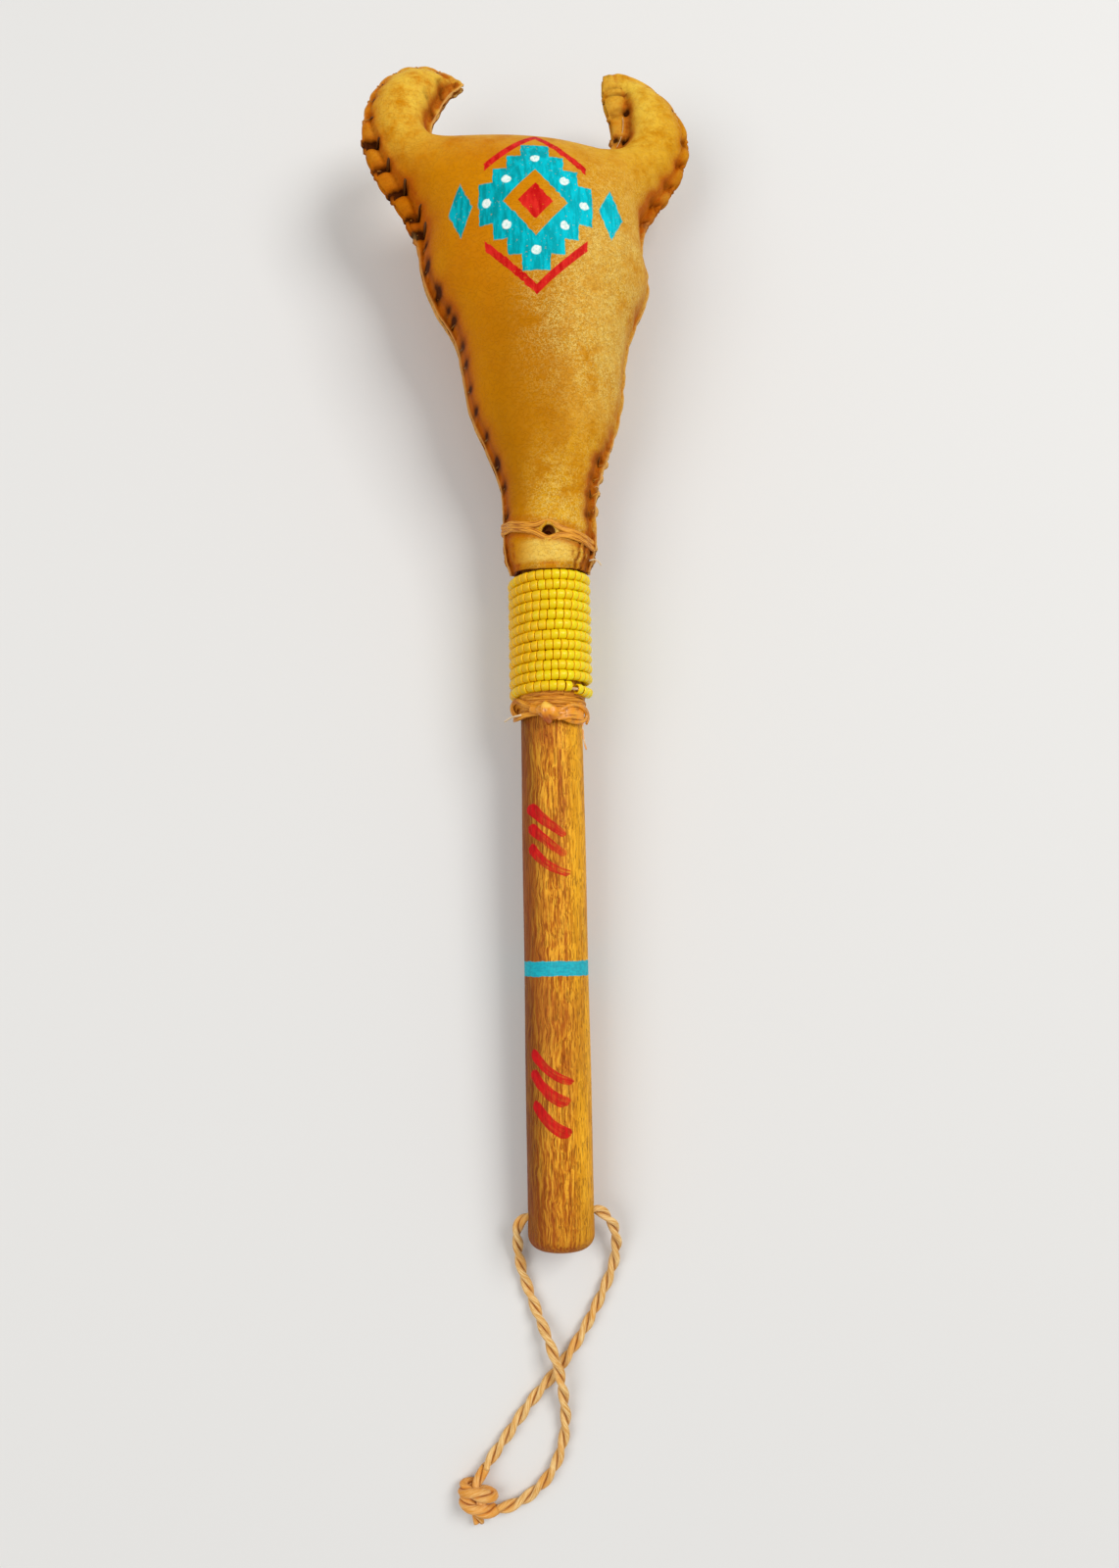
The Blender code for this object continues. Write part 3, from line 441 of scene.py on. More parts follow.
def wood_finish(wire):
    spot, x, y, z = straight_place(wire)
    wavy = noise(wire, spot, 0.12, 2.0) - 0.5
    grown = spot.node("ShaderNodeVectorMath", {"operation": "ADD"}, {0: spot, 1: wavy * 2.2})
    fine = noise(wire, stretched(wire, grown, 1.0, 0.10, 1.0), 2.3, 3.0, 0.6)
    streak = noise(wire, stretched(wire, grown, 1.0, 0.06, 1.0), 1.35, 4.0, 0.65)
    pores = noise(wire, stretched(wire, grown, 1.0, 0.055, 1.0), 3.4, 1.0)
    broad = noise(wire, stretched(wire, spot, 1.0, 0.22, 1.0), 0.11, 2.0)
    flecks = noise(wire, stretched(wire, spot, 0.5, 2.2, 0.5), 1.1, 2.0)
    colour = fine.fade(0.38, 0.62).over((176, 94, 12), (226, 150, 34))
    colour = (streak.fade(0.50, 0.60) * 0.75).over(colour, (244, 178, 50))
    colour = (streak.fade(0.49, 0.39) * 0.75).over(colour, (154, 74, 8))
    # Painted shade darkens the handle's left side, and painted light brightens its right side.
    colour = (x.fade(-1.0, -8.6) * 0.78).over(colour, (100, 38, 6))
    colour = (x.fade(2.0, 7.5) * 0.55).over(colour, (246, 182, 30))
    colour = (broad.fade(0.50, 0.64) * 0.40).over(colour, (160, 80, 26))
    colour = (pores.fade(0.55, 0.68) * 0.55).over(colour, (112, 52, 8))
    colour = (flecks.fade(0.56, 0.70) * x.fade(-3.0, 1.0) * x.fade(6.0, 3.0) * 0.35).over(colour, (170, 98, 40))
    colour = (y.fade(26.0, 4.0) * 0.30 + y.fade(5.0, 1.0) * 0.3).over(colour, (140, 62, 16))
    paint = None
    for stroke in STROKES_MM:
        mask = brush_stroke(wire, x, y, stroke) * z.fade(-1.0, 1.5)
        paint = mask if paint is None else paint.most(mask)
    depth = noise(wire, stretched(wire, spot, 1.0, 0.3, 1.0), 0.9, 2.0)
    colour = (paint * (1.0 - pores.fade(0.58, 0.70) * 0.25)).over(colour, depth.fade(0.35, 0.65).over((176, 6, 14), RED))
    ragged = noise(wire, stretched(wire, spot, 0.7, 0.1, 0.7), 0.5, 3.0) - 0.5
    band = abs(y - BAND_MM + ragged * 1.2).fade(2.30, 2.02)
    tint = noise(wire, stretched(wire, spot, 0.6, 1.6, 0.6), 1.1, 2.0)
    colour = (band * 0.97).over(colour, tint.fade(0.36, 0.64).over((0, 158, 176), TURQUOISE))
    colour = (y.fade(199.5, 203.0) * 0.85).over(colour, (176, 98, 44))
    painted = band.most(paint)
    roughness = 0.40 + fine * 0.16 + painted * 0.04
    height = (fine * 0.7 - pores.fade(0.55, 0.70)) * (1.0 - painted * 0.6) + painted * 0.5
    return {"Base Color": colour, "Roughness": roughness, "Normal": bumped(wire, height, 0.00013)}


def lay_down(piece):
    """Takes a piece from the straight frame to where the rattle lies, in its mesh."""
    piece.data.transform(LAID)
    return piece


def model_handle():
    bpy.ops.object.select_all(action="DESELECT")
    bpy.ops.mesh.primitive_cylinder_add(vertices=HANDLE_SIDES, radius=BUTT_RADIUS, depth=HANDLE_LENGTH,
                                        location=(0, HANDLE_LENGTH / 2, 0), rotation=(-math.pi / 2, 0, 0))
    made = bpy.context.object
    made.name = "wooden_handle"
    bpy.ops.object.transform_apply(location=True, rotation=True, scale=True)
    bpy.ops.object.mode_set(mode="EDIT")
    for place in [BUTT_ROUNDING * 1.3, *np.linspace(0.012, NECK_END - 0.004, 24), NECK_END - 0.0004, NECK_END]:
        bpy.ops.mesh.select_all(action="SELECT")
        bpy.ops.mesh.bisect(plane_co=(0, place, 0), plane_no=(0, 1, 0))
    bpy.ops.object.mode_set(mode="OBJECT")
    for v in made.data.vertices:
        radius = math.hypot(v.co.x, v.co.z)
        if radius < 1e-5:
            continue
        if v.co.y > NECK_END - 0.0002:
            wanted = TENON_RADIUS
        else:
            wanted = BUTT_RADIUS + (BAND_RADIUS - BUTT_RADIUS) * v.co.y / NECK_END
            wanted += HANDLE_WAVE * math.sin(v.co.y * 95 + 2 * math.atan2(v.co.x, v.co.z))
        v.co.x *= wanted / radius
        v.co.z *= wanted / radius
    for v in made.data.vertices:
        v.select = v.co.y < 1e-6
    for edge in made.data.edges:
        edge.select = all(made.data.vertices[i].select for i in edge.vertices)
    for face in made.data.polygons:
        face.select = all(made.data.vertices[i].select for i in face.vertices)
    bpy.ops.object.mode_set(mode="EDIT")
    bpy.ops.mesh.bevel(offset=BUTT_ROUNDING, segments=8, profile=0.5)
    bpy.ops.object.mode_set(mode="OBJECT")
    along_hole = Vector((math.cos(CORD_HOLE_SLANT), math.sin(CORD_HOLE_SLANT), 0)) * 0.02
    middle = Vector((0, CORD_HOLE_PLACE, 0))
    peg_foot = Vector((0, PEG_HOLE_PLACE, TENON_RADIUS - PEG_HOLE_DEPTH))
    for name, radius, start, end in (("cord hole", CORD_HOLE_RADIUS, middle - along_hole, middle + along_hole),
                                     ("peg hole", PEG_HOLE_RADIUS, peg_foot, peg_foot + Vector((0, 0, 0.02)))):
        run = end - start
        bpy.ops.object.select_all(action="DESELECT")
        bpy.ops.mesh.primitive_cylinder_add(vertices=32, radius=radius, depth=run.length, location=(start + end) / 2,
                                            rotation=run.to_track_quat("Z", "Y").to_euler())
        drill = bpy.context.object
        cut = made.modifiers.new(name, "BOOLEAN")
        cut.object = drill
        cut.solver = "EXACT"
        bpy.context.view_layer.objects.active = made
        bpy.ops.object.modifier_apply(modifier=cut.name)
        bpy.data.objects.remove(drill, do_unlink=True)
    bpy.ops.object.select_all(action="DESELECT")
    made.select_set(True)
    bpy.context.view_layer.objects.active = made
    bpy.ops.object.shade_smooth_by_angle(angle=math.radians(35))
    return lay_down(made)


handle = model_handle()
handle.data.materials.clear()
handle.data.materials.append(finish("oiled wood", wood_finish, Specular_IOR_Level=0.10))
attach(handle, "rattle")
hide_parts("handle")


# Head: two hide panels cut to one outline, sewn round the edge, packed full while wet and dried hard.
# The hide stands between the stitches and is pinched at each, and its neck is drawn round the handle.
LEFT_EDGE_MM = [
    (-11.9, 199.2), (-13.1, 203.2), (-13.7, 208.5), (-13.8, 214), (-14.4, 226), (-18.6, 238), (-23.6, 250), (-25.8, 262), (-28.0, 272),
    (-34.3, 283), (-38.0, 293), (-39.6, 304), (-44.0, 314.5), (-51.5, 325.5), (-56.0, 338), (-55.2, 350),
    (-49.5, 359.5), (-40.0, 364.5), (-31.5, 363.5), (-24.5, 359.5),
]
CROWN_EDGE_MM = [
    (-24.5, 359.5), (-29.5, 354.8), (-33.0, 348.5), (-35.2, 343.0), (-33.5, 340.0), (-25.0, 339.6),
    (-13.0, 340.3), (0, 340.6), (11.0, 339.6), (18.0, 338.6), (22.6, 340.3), (24.0, 345.0), (23.4, 351.0),
    (21.8, 357.0), (21.2, 366.0),
]
RIGHT_EDGE_MM = [
    (21.2, 366.0), (27.0, 367.3), (34.0, 365.0), (40.5, 360.5), (45.5, 354.0), (48.2, 345.5), (46.8, 336.0),
    (42.2, 327.0), (36.6, 319.0), (32.8, 311.5), (32.3, 304.0), (33.9, 297.0), (33.5, 290.0), (30.0, 281.5),
    (26.6, 272.0), (25.2, 262.0), (24.0, 252.0), (20.8, 240.5), (16.8, 230.5), (14.9, 220.0), (14.8, 210.0),
    (14.3, 205.0), (13.4, 202.0), (12.5, 199.2),
]
NECK_CORNER_RISE_MM = 1.7
BACK_NECK_ARCH_MM = 2.6
HIDE_WALL_MM = 1.1
SEAM_GAP_MM = 0.3
FACE_FULLNESS = 0.98
BACK_FULLNESS = 0.93
EDGE_SOFTNESS_MM = 1.2
HEAD_TWIST = math.radians(8.0)
TWIST_START_MM = 215.0
TWIST_LENGTH_MM = 60.0
EDGE_SPACING_MM = 0.5
RINGS_MM = (0.25, 0.6, 1.0, 1.4, 1.8, 2.2, 2.6, 3.0, 3.4, 3.8, 4.3, 4.8, 5.4, 6.0, 6.7, 7.5, 8.4)
HIDE_SPACING_MM = 1.9
NECK_SPACING_MM = 0.75
NECK_DETAIL_MM = 233.0
SLEEVE_MM = TENON_RADIUS * 1000 + 0.7 + HIDE_WALL_MM
PEG_SPOT_MM = np.array((0.2, PEG_HOLE_PLACE * 1000))
PEG_RIM_MM = 1.95
# The tie crosses the face at this place, lower at the right and lifted at the left.
TIE_PLACE_MM = 209.3
TIE_TILT = -0.14
TIE_LIFT = 0.011

# Along the seam, in millimetres from the neck's left corner: how wide the sewn border is, how far it swells between the
# stitches, and how brown the border is painted there, partly as its own browner colour and partly as painted shade in
# its groove and round its stitches.
BORDER_MM = [
    (0, 1.7), (18, 1.5), (30, 1.5), (45, 1.6), (56, 1.3), (74, 1.2), (79, 1.9), (90, 2.4), (99, 1.7), (106, 2.0),
    (111, 3.4), (118, 4.4), (125, 5.2), (148, 4.4), (157, 2.4), (186, 1.9), (197, 2.6), (222, 2.2), (277, 2.4),
    (283, 4.4), (291, 5.4), (297, 6.6), (303, 6.6), (306, 4.6), (311, 2.0), (332, 1.8), (345, 3.0), (352, 3.2),
    (378, 3.4), (387, 1.8), (455, 1.6), (464, 2.6), (480, 2.8), (494, 1.8),
]
SWELL_MM = [
    (0, 0.1), (30, 0.35), (100, 0.4), (110, 0.9), (120, 1.9), (148, 1.7), (156, 0.7), (186, 0.3), (196, 0.1),
    (224, 0.2), (276, 0.5), (284, 1.4), (303, 1.7), (308, 0.9), (314, 0.3), (335, 0.5), (345, 1.7), (372, 1.6), (380, 0.9),
    (386, 0.2), (455, 0.25), (494, 0.2),
]
# How far the hide stands up, or where negative sinks, along the border's inner line.
FOLD_MM = [
    (0, -0.35), (98, -0.5), (108, 0.2), (116, 1.1), (146, 1.1), (154, 0.6), (186, 0.3), (196, -0.3), (224, -0.3),
    (276, -0.2), (284, -0.45), (304, -0.5), (310, 0.1), (338, 0.3), (346, 0.9), (366, 0.8), (380, 0.1),
    (390, -0.1), (452, -0.1), (462, -0.4), (494, -0.4),
]
BROWN = [
    (0, 0.7), (40, 0.65), (75, 0.8), (100, 0.9), (114, 0.75), (146, 0.6), (158, 0.35), (186, 0.25), (196, 0.6),
    (206, 0.85), (224, 0.7), (230, 0.3), (272, 0.4), (280, 1.0), (292, 0.85), (298, 0.6), (303, 0.5), (310, 0.2),
    (335, 0.15), (346, 0.35), (360, 0.7), (370, 0.95), (381, 1.0), (388, 0.25), (403, 0.15), (412, 0.5), (420, 0.15),
    (450, 0.2), (460, 0.8), (494, 0.85),
]
# How deep the hide crinkled there as it dried.
CRINKLE_MM = [
    (0, 0.2), (20, 0.1), (150, 0.15), (170, 0.3), (192, 0.3), (198, 0.9), (214, 0.9), (224, 0.5), (232, 0.0),
    (276, 0.1), (284, 0.5), (292, 0.2), (303, 0.2), (307, 0.7), (312, 0.1), (384, 0.15), (455, 0.2), (460, 0.8),
    (494, 0.8),
]
# Stitches by kind, with their places along the seam.
STITCHES_MM = {
    "hole": (18, 26.5, 33.5, 42.5, 51, 58.5, 66, 72, 79.5, 83, 90, 99.5, 106.5),
    "stitch": (231.5, 240, 248.5, 257, 265.5, 272),
    "slot": (113, 118.5, 127.5, 137, 146),
    "scallop": (154.5, 161.5, 167.5, 174.5, 182.5, 190, 325, 333.5),
    "tuck": (344.5, 353.5, 362.5, 371, 378),
    "soft": (390, 398, 405, 413, 421, 429, 437, 445, 453),
    "pleat": (203, 208.5, 215.5, 277.5, 307.5),
    "ring": (298.0, 300.8), "fold": (291.4, 282.6),
    "whip": (462, 467, 472, 477.5),
}
STITCH_SHAPES = {
    # half width, depth, notch in the edge, darkness of its pit (dirt with painted shade), how far past the border it
    # reaches, its slant
    "hole": (1.6, 0.8, 0.12, 1.5, 0.4, 0.25), "stitch": (1.2, 0.6, 0.10, 0.6, 0.3, 0.0),
    "slot": (1.05, 2.3, 0.9, 2.6, -0.5, -0.35), "scallop": (1.2, 0.45, 0.35, 0.25, 0.0, 0.2),
    "tuck": (1.3, 1.3, 1.15, 0.55, -0.2, 0.5), "soft": (1.5, 0.25, 0.36, 0.0, 0.2, 0.2),
    "pleat": (0.85, 0.8, 0.0, 0.55, 3.4, -0.75), "ring": (0.38, 0.6, -0.1, 0.6, -0.1, 0.08),
    "fold": (1.15, 0.8, 0.15, 0.55, 0.0, 0.05), "whip": (1.15, 1.0, 0.12, 0.45, 0.8, 0.8),
}
# Between these the hide bulges in round lobes.
ROUNDED = ("slot", "tuck", "scallop")
# Single pits beside the folds, sunk and painted dark as dirt with painted shade: place along the seam, distance from
# its edge, and radius.
PITS_MM = ((291.2, 5.0, 0.75), (283.2, 0.9, 0.75), (283.0, 3.6, 0.70))


def inward(run):
    along = units(np.gradient(run, axis=0))
    return np.stack([along[:, 1], -along[:, 0]], axis=1)


def nearest_on(path, points):
    """The least distance from each point to a polyline, and the length along it where that is."""
    a = path[:-1]
    d = np.diff(path, axis=0)
    along = lengths(path)
    far, where = [], []
    for chunk in np.array_split(points, max(1, len(points) // 1500)):
        rel = chunk[:, None, :] - a[None]
        t = np.clip((rel * d).sum(2) / (d * d).sum(1), 0.0, 1.0)
        gap = np.linalg.norm(rel - t[..., None] * d, axis=2)
        best = gap.argmin(axis=1)
        rows = np.arange(len(chunk))
        far.append(gap[rows, best])
        where.append(along[best] + t[rows, best] * np.linalg.norm(d, axis=1)[best])
    return np.concatenate(far), np.concatenate(where)


def inside(loop, points):
    x0, y0 = loop[:, 0], loop[:, 1]
    x1, y1 = np.roll(x0, -1), np.roll(y0, -1)
    answer = []
    for chunk in np.array_split(points, max(1, len(points) // 4000)):
        px, py = chunk[:, :1], chunk[:, 1:]
        spans = (y0 > py) != (y1 > py)
        with np.errstate(divide="ignore", invalid="ignore"):
            cross = px < (x1 - x0) * (py - y0) / (y1 - y0) + x0
        answer.append((spans & cross).sum(axis=1) % 2 == 1)
    return np.concatenate(answer)


def neck_edge(x, arch=0.0):
    """The neck's lower edge, which rises to its corners. The back's is cut in a higher arch."""
    middle = (sewn[0, 0] + sewn[-1, 0]) / 2
    off = (x - middle) / (sewn[-1, 0] - middle)
    return NECK_END * 1000 + NECK_CORNER_RISE_MM * off ** 2 + arch * (1.0 - np.clip(off ** 4, 0, 1))


def tie_line(x):
    return TIE_PLACE_MM + TIE_TILT * x + TIE_LIFT * np.maximum(-x, 0.0) ** 2


def grid(low, high, spacing):
    rows = []
    for j, y in enumerate(np.arange(low[1] + spacing / 2, high[1], spacing * 0.866)):
        x = np.arange(low[0] + (j % 2) * spacing / 2, high[0], spacing)
        rows.append(np.stack([x, np.full(len(x), y)], axis=1))
    return np.vstack(rows)


def hide_pattern(pierced, arch):
    """The flat pattern of a panel: rings of points along the seam, an even field inside them, and the hole."""
    ways = inward(sewn)
    neck_x = np.linspace(sewn[-1, 0], sewn[0, 0], 44)[1:-1]
    loop = np.vstack([sewn, np.stack([neck_x, neck_edge(neck_x, arch)], axis=1)])
    edges = [(i, (i + 1) % len(loop)) for i in range(len(loop))]
    layers = [loop]
    rim = np.array([(math.cos(a), math.sin(a)) for a in np.arange(28) * 2 * math.pi / 28])
    if pierced:
        edges += [(len(loop) + i, len(loop) + (i + 1) % 28) for i in range(28)]
        layers += [PEG_SPOT_MM + rim * PEG_RIM_MM, PEG_SPOT_MM + rim * (PEG_RIM_MM + 0.35)]
    clear = PEG_RIM_MM + (0.7 if pierced else -9.0)
    for step in RINGS_MM:
        ring = sewn + ways * step
        gap, _ = nearest_on(sewn, ring)
        keep = (gap > step - 0.05) & inside(loop, ring) & (ring[:, 1] > neck_edge(ring[:, 0], arch) + 0.5)
        layers.append(ring[keep & (np.linalg.norm(ring - PEG_SPOT_MM, axis=1) > clear)])
    low, high = loop.min(axis=0), loop.max(axis=0)
    field = np.vstack([grid(low, (high[0], NECK_DETAIL_MM), NECK_SPACING_MM),
                       grid((low[0], NECK_DETAIL_MM), high, HIDE_SPACING_MM)])
    field = field[inside(loop, field) & (np.linalg.norm(field - PEG_SPOT_MM, axis=1) > clear)]
    gap, _ = nearest_on(sewn, field)
    layers.append(field[(gap > RINGS_MM[-1] + 0.5) & (field[:, 1] > neck_edge(field[:, 0], arch) + 0.4)])
    flat, _, faces, _, _, _ = delaunay_2d_cdt([Vector(p) for p in np.vstack(layers)], edges, [], 0, 1e-4)
    flat = np.array([tuple(p) for p in flat])
    faces = np.array([f for f in faces if len(f) == 3])
    centres = flat[faces].mean(axis=1)
    keep = inside(loop, centres)
    if pierced:
        keep &= np.linalg.norm(centres - PEG_SPOT_MM, axis=1) > PEG_RIM_MM * 0.985
    faces = faces[keep]
    d = flat[faces[:, 1]] - flat[faces[:, 0]]
    e = flat[faces[:, 2]] - flat[faces[:, 0]]
    turned = d[:, 0] * e[:, 1] - d[:, 1] * e[:, 0] < 0
    faces[turned] = faces[turned][:, ::-1]
    return flat, faces


def membrane(flat, faces, held):
    """Height of a membrane held at the sewn border under even pressure, by conjugate gradients."""
    p = flat[faces]
    rows, columns, weights = [], [], []
    cross = np.abs(np.cross(p[:, 1] - p[:, 0], p[:, 2] - p[:, 0]))
    load = np.bincount(faces.ravel(), np.repeat(cross / 6.0, 3), len(flat))
    for k in range(3):
        i, j, o = faces[:, k], faces[:, (k + 1) % 3], faces[:, (k + 2) % 3]
        u, v = flat[i] - flat[o], flat[j] - flat[o]
        rows.append(i)
        columns.append(j)
        weights.append(0.5 * (u * v).sum(1) / np.maximum(np.abs(np.cross(u, v)), 1e-6))
    i, j, w = np.concatenate(rows), np.concatenate(columns), np.concatenate(weights)
    free = (~held).astype(float)

    def stiffness(x):
        pull = w * (x[i] - x[j])
        return free * (np.bincount(i, pull, len(flat)) - np.bincount(j, pull, len(flat)))

    x = np.zeros(len(flat))
    r = free * load
    d = r.copy()
    size = r @ r
    goal = size * 1e-9
    for _ in range(1500):
        kd = stiffness(d)
        step = size / (d @ kd)
        x += step * d
        r -= step * kd
        fresh = r @ r
        if fresh < goal:
            break
        d = r + d * (fresh / size)
        size = fresh
    return np.sqrt(2.0 * np.maximum(x, 0.0) + EDGE_SOFTNESS_MM ** 2) - EDGE_SOFTNESS_MM


def twisted(points):
    """The head dried with a twist about the handle's axis, its left horn towards the face."""
    k = np.clip((points[:, 1] - TWIST_START_MM) / TWIST_LENGTH_MM, 0.0, 1.0)
    a = HEAD_TWIST * k * k * (3.0 - 2.0 * k)
    x, z = points[:, 0], points[:, 2]
    return np.stack([x * np.cos(a) + z * np.sin(a), points[:, 1], z * np.cos(a) - x * np.sin(a)], axis=1)


def uneven(points, size, seed):
    """A smooth, seeded unevenness between -1 and 1 with features of a given size."""
    rng = np.random.default_rng(seed)
    total = np.zeros(len(points))
    for _ in range(7):
        way = rng.normal(size=points.shape[1])
        way *= rng.uniform(0.7, 1.5) / (size * np.linalg.norm(way))
        total += np.sin(points @ way * 2 * math.pi + rng.uniform(0, 2 * math.pi))
    return total / 4.0


def at_seam(table, along):
    return np.interp(along, *zip(*table))


def eased(value, low, high):
    t = np.clip((value - low) / (high - low), 0.0, 1.0)
    return t * t * (3.0 - 2.0 * t)


runs = [smooth_run(c, EDGE_SPACING_MM) for c in (LEFT_EDGE_MM, CROWN_EDGE_MM, RIGHT_EDGE_MM)]
sewn = np.vstack([runs[0], runs[1][1:], runs[2][1:]])
seam_along = lengths(sewn)
seam_inward = inward(sewn)


class Panel:
    """One hide panel's surface and shades, in millimetres in the straight frame."""

    def __init__(self, side, fullness, pierced, arch, seed):
        self.side = side
        self.arch = arch
        self.flat, self.faces = hide_pattern(pierced, arch)
        self.gap, self.at = nearest_on(sewn, self.flat)
        border = at_seam(BORDER_MM, self.at)
        self.lip = np.zeros(len(self.flat))
        self.brown = np.zeros(len(self.flat))
        self.dark = np.zeros(len(self.flat))
        rise = membrane(self.flat, self.faces, self.gap < border - 0.5)
        height = SEAM_GAP_MM / 2 + HIDE_WALL_MM + fullness * rise
        x, y = self.flat.T
        height += 0.30 * uneven(self.flat, 26.0, seed) * np.clip(self.gap / 12, 0, 1)
        height, shift = self.sew(height, border)
        height = self.shape_neck(height, seed)
        self.surface = twisted(np.column_stack([self.flat + shift, side * height]))
        self.tree = KDTree(len(self.flat))
        for index, place in enumerate(self.flat):
            self.tree.insert((*place, 0), index)
        self.tree.balance()

    def sew(self, height, border):
        """Swells the border between the stitches and pinches it at each, and curls up its cut edge."""
        gap, at = self.gap, self.at
        shades = at_seam(BROWN, at)
        t = np.clip(gap / border, 0, 1)
        wave = 1.0 + 0.25 * uneven(np.column_stack([at, gap]), 9.0, 5)
        height = height + at_seam(SWELL_MM, at) * wave * np.sin(math.pi * t) ** 0.75
        groove = np.exp(-((gap - border - 0.1) / 0.65) ** 2)
        height = height + at_seam(FOLD_MM, at) * groove
        lip = np.clip(1.0 - at_seam(SWELL_MM, at) / 1.4, 0, 1)
        height = height + 0.22 * lip * np.exp(-((gap - 0.2) / 0.4) ** 2)
        self.lip = lip * np.exp(-(gap / 0.4) ** 2)
        # The border is tinted brown as its own colour, and painted shade lays brown along the groove at its inner line.
        self.brown += shades * (0.8 * np.exp(-((gap - border) / 1.1) ** 2) + 0.55 * (gap < border))
        # Painted shade: dark along the groove where it sinks.
        sunk = np.clip(-2.2 * at_seam(FOLD_MM, at), 0, 1)
        self.dark += 0.45 * shades * sunk * np.exp(-((gap - border - 0.1) / 0.4) ** 2)
        outward = np.zeros(len(gap))
        # Unevenness of the stitch pits' darkness, which is dirt with painted shade.
        uneven_pit_dirt_and_shade = 1.0 + 0.55 * uneven(np.column_stack([at, gap]), 2.6, 11)
        for kind, places in STITCHES_MM.items():
            half, depth, notch, dark, past, slant = STITCH_SHAPES[kind]
            for number, place in enumerate(places):
                odd = math.sin(place * 7.3 + number)
                along = at - place - slant * gap - 0.15 * odd
                near = np.exp(-(along / (half * (1.0 + 0.18 * odd))) ** 2)
                if kind in ("hole", "stitch"):
                    deep = np.exp(-((gap - border + 0.1) / 0.8) ** 2)
                    pit = deep
                else:
                    deep = 1.0 - eased(gap, border + past - 0.7, border + past + 0.8)
                    pit = deep if kind == "slot" else deep * eased(gap, 0.0, 1.0)
                    if kind == "pleat":
                        deep = deep * eased(gap, 0.2, 1.6)
                strong = 1.0 + 0.2 * math.sin(place * 3.1)
                height = height - depth * strong * near * deep
                outward -= notch * strong * near * np.exp(-(gap / 2.2) ** 2)
                if kind in ROUNDED:
                    sides = np.exp(-(along / 2.7) ** 2)
                    height = height - 0.35 * depth * sides * (1.0 - eased(gap, border - 1.6, border + 0.2))
                    outward -= 0.7 * notch * sides * np.exp(-(gap / 3.0) ** 2)
                    # Painted shade: brown between the lobes near the edge.
                    self.brown += 0.5 * sides * (1.0 - eased(gap, border - 1.2, border))
                # The stitch's pit is painted dark as dirt with painted shade, and the puckers round it brown as painted
                # shade.
                self.dark += dark * near * pit * (0.75 + 0.25 * odd) * uneven_pit_dirt_and_shade
                puckers = np.exp(-(along / (2.1 * half)) ** 2) * np.exp(-((gap - border) / 2.0) ** 2)
                self.brown += 0.75 * shades * puckers
        outward += at_seam(SWELL_MM, at) * 0.50 * np.exp(-(gap / 3.0) ** 2)
        crinkles = uneven(np.column_stack([at, gap * 0.35]), 3.4, 13)
        shrunk = at_seam(CRINKLE_MM, at) * np.exp(-(gap / 2.8) ** 2)
        height = height + shrunk * crinkles * eased(gap, 0.0, 0.9)
        outward += 0.35 * shrunk * crinkles
        # Painted shade: brown and dark in the crinkles' hollows.
        self.brown += 1.1 * shrunk * np.clip(0.3 - crinkles, 0, 1)
        self.dark += 0.5 * shrunk * np.clip(-crinkles - 0.45, 0, 1)
        for place, depth, radius in PITS_MM:
            near = np.exp(-(((at - place) ** 2 + (gap - depth) ** 2) / radius ** 2))
            height = height - 0.9 * near
            # The pit is painted dark as dirt with painted shade.
            self.dark += 1.3 * near
        lowest = 0.35 + 0.9 * (gap < 0.2)
        height = np.maximum(height, lowest)
        ways = np.stack([np.interp(at, seam_along, -seam_inward[:, k]) for k in range(2)], axis=1)
        return height, ways * outward[:, None]

    def shape_neck(self, height, seed):
        """The neck: drawn in by its tie, puffed below it, with a rolled rim, folds at its sides and wrinkles."""
        x, y = self.flat.T
        full = eased(height, 2.0, 7.0)
        sleeve = np.sqrt(np.maximum(SLEEVE_MM ** 2 - x ** 2, 0.0)) * np.clip((HANDLE_LENGTH * 1000 + 12 - y) / 12, 0, 1)
        height = np.where(self.gap > 1.5, np.maximum(height, sleeve), height)
        from_tie = y - tie_line(x)
        from_rim = y - neck_edge(x, self.arch)
        near_neck = 1.0 - eased(y, 214.0, 222.0)
        height = height - near_neck * full * 0.55 * np.exp(-(from_tie / 1.6) ** 2)
        puff = eased(from_rim, 1.6, 4.0) * eased(-from_tie, 1.2, 3.4)
        height = height + full * 0.35 * puff
        height = height + full * (0.25 * np.exp(-((from_rim - 0.7) / 0.5) ** 2) - 0.40 * np.exp(-((from_rim - 1.7) / 0.4) ** 2))
        below = 1.0 - eased(y, 205.0, 212.0)
        folds = np.sin(self.gap * 2 * math.pi / 1.7 + 2.0 * uneven(self.flat, 7.0, seed + 2))
        wide = np.where(x < 0, 3.6, 7.0) + 1.2 * uneven(self.flat, 5.0, seed + 6)
        side = below * eased(wide - self.gap, 0.0, 2.6)
        height = height + side * 0.50 * folds
        # The neck's sides are tinted brown, and their fold valleys are painted brown and dark as shade.
        self.brown += side * (0.35 - 0.6 * folds)
        self.dark += side * np.where(x > 0, 0.95, 0.6) * np.clip(-folds - 0.3, 0, 1)
        # Painted shade in the groove above the rolled rim, and a brown tint on the rim itself.
        self.brown += 0.7 * np.exp(-((from_rim - 1.7) / 0.35) ** 2) + 0.2 * (from_rim < 1.4)
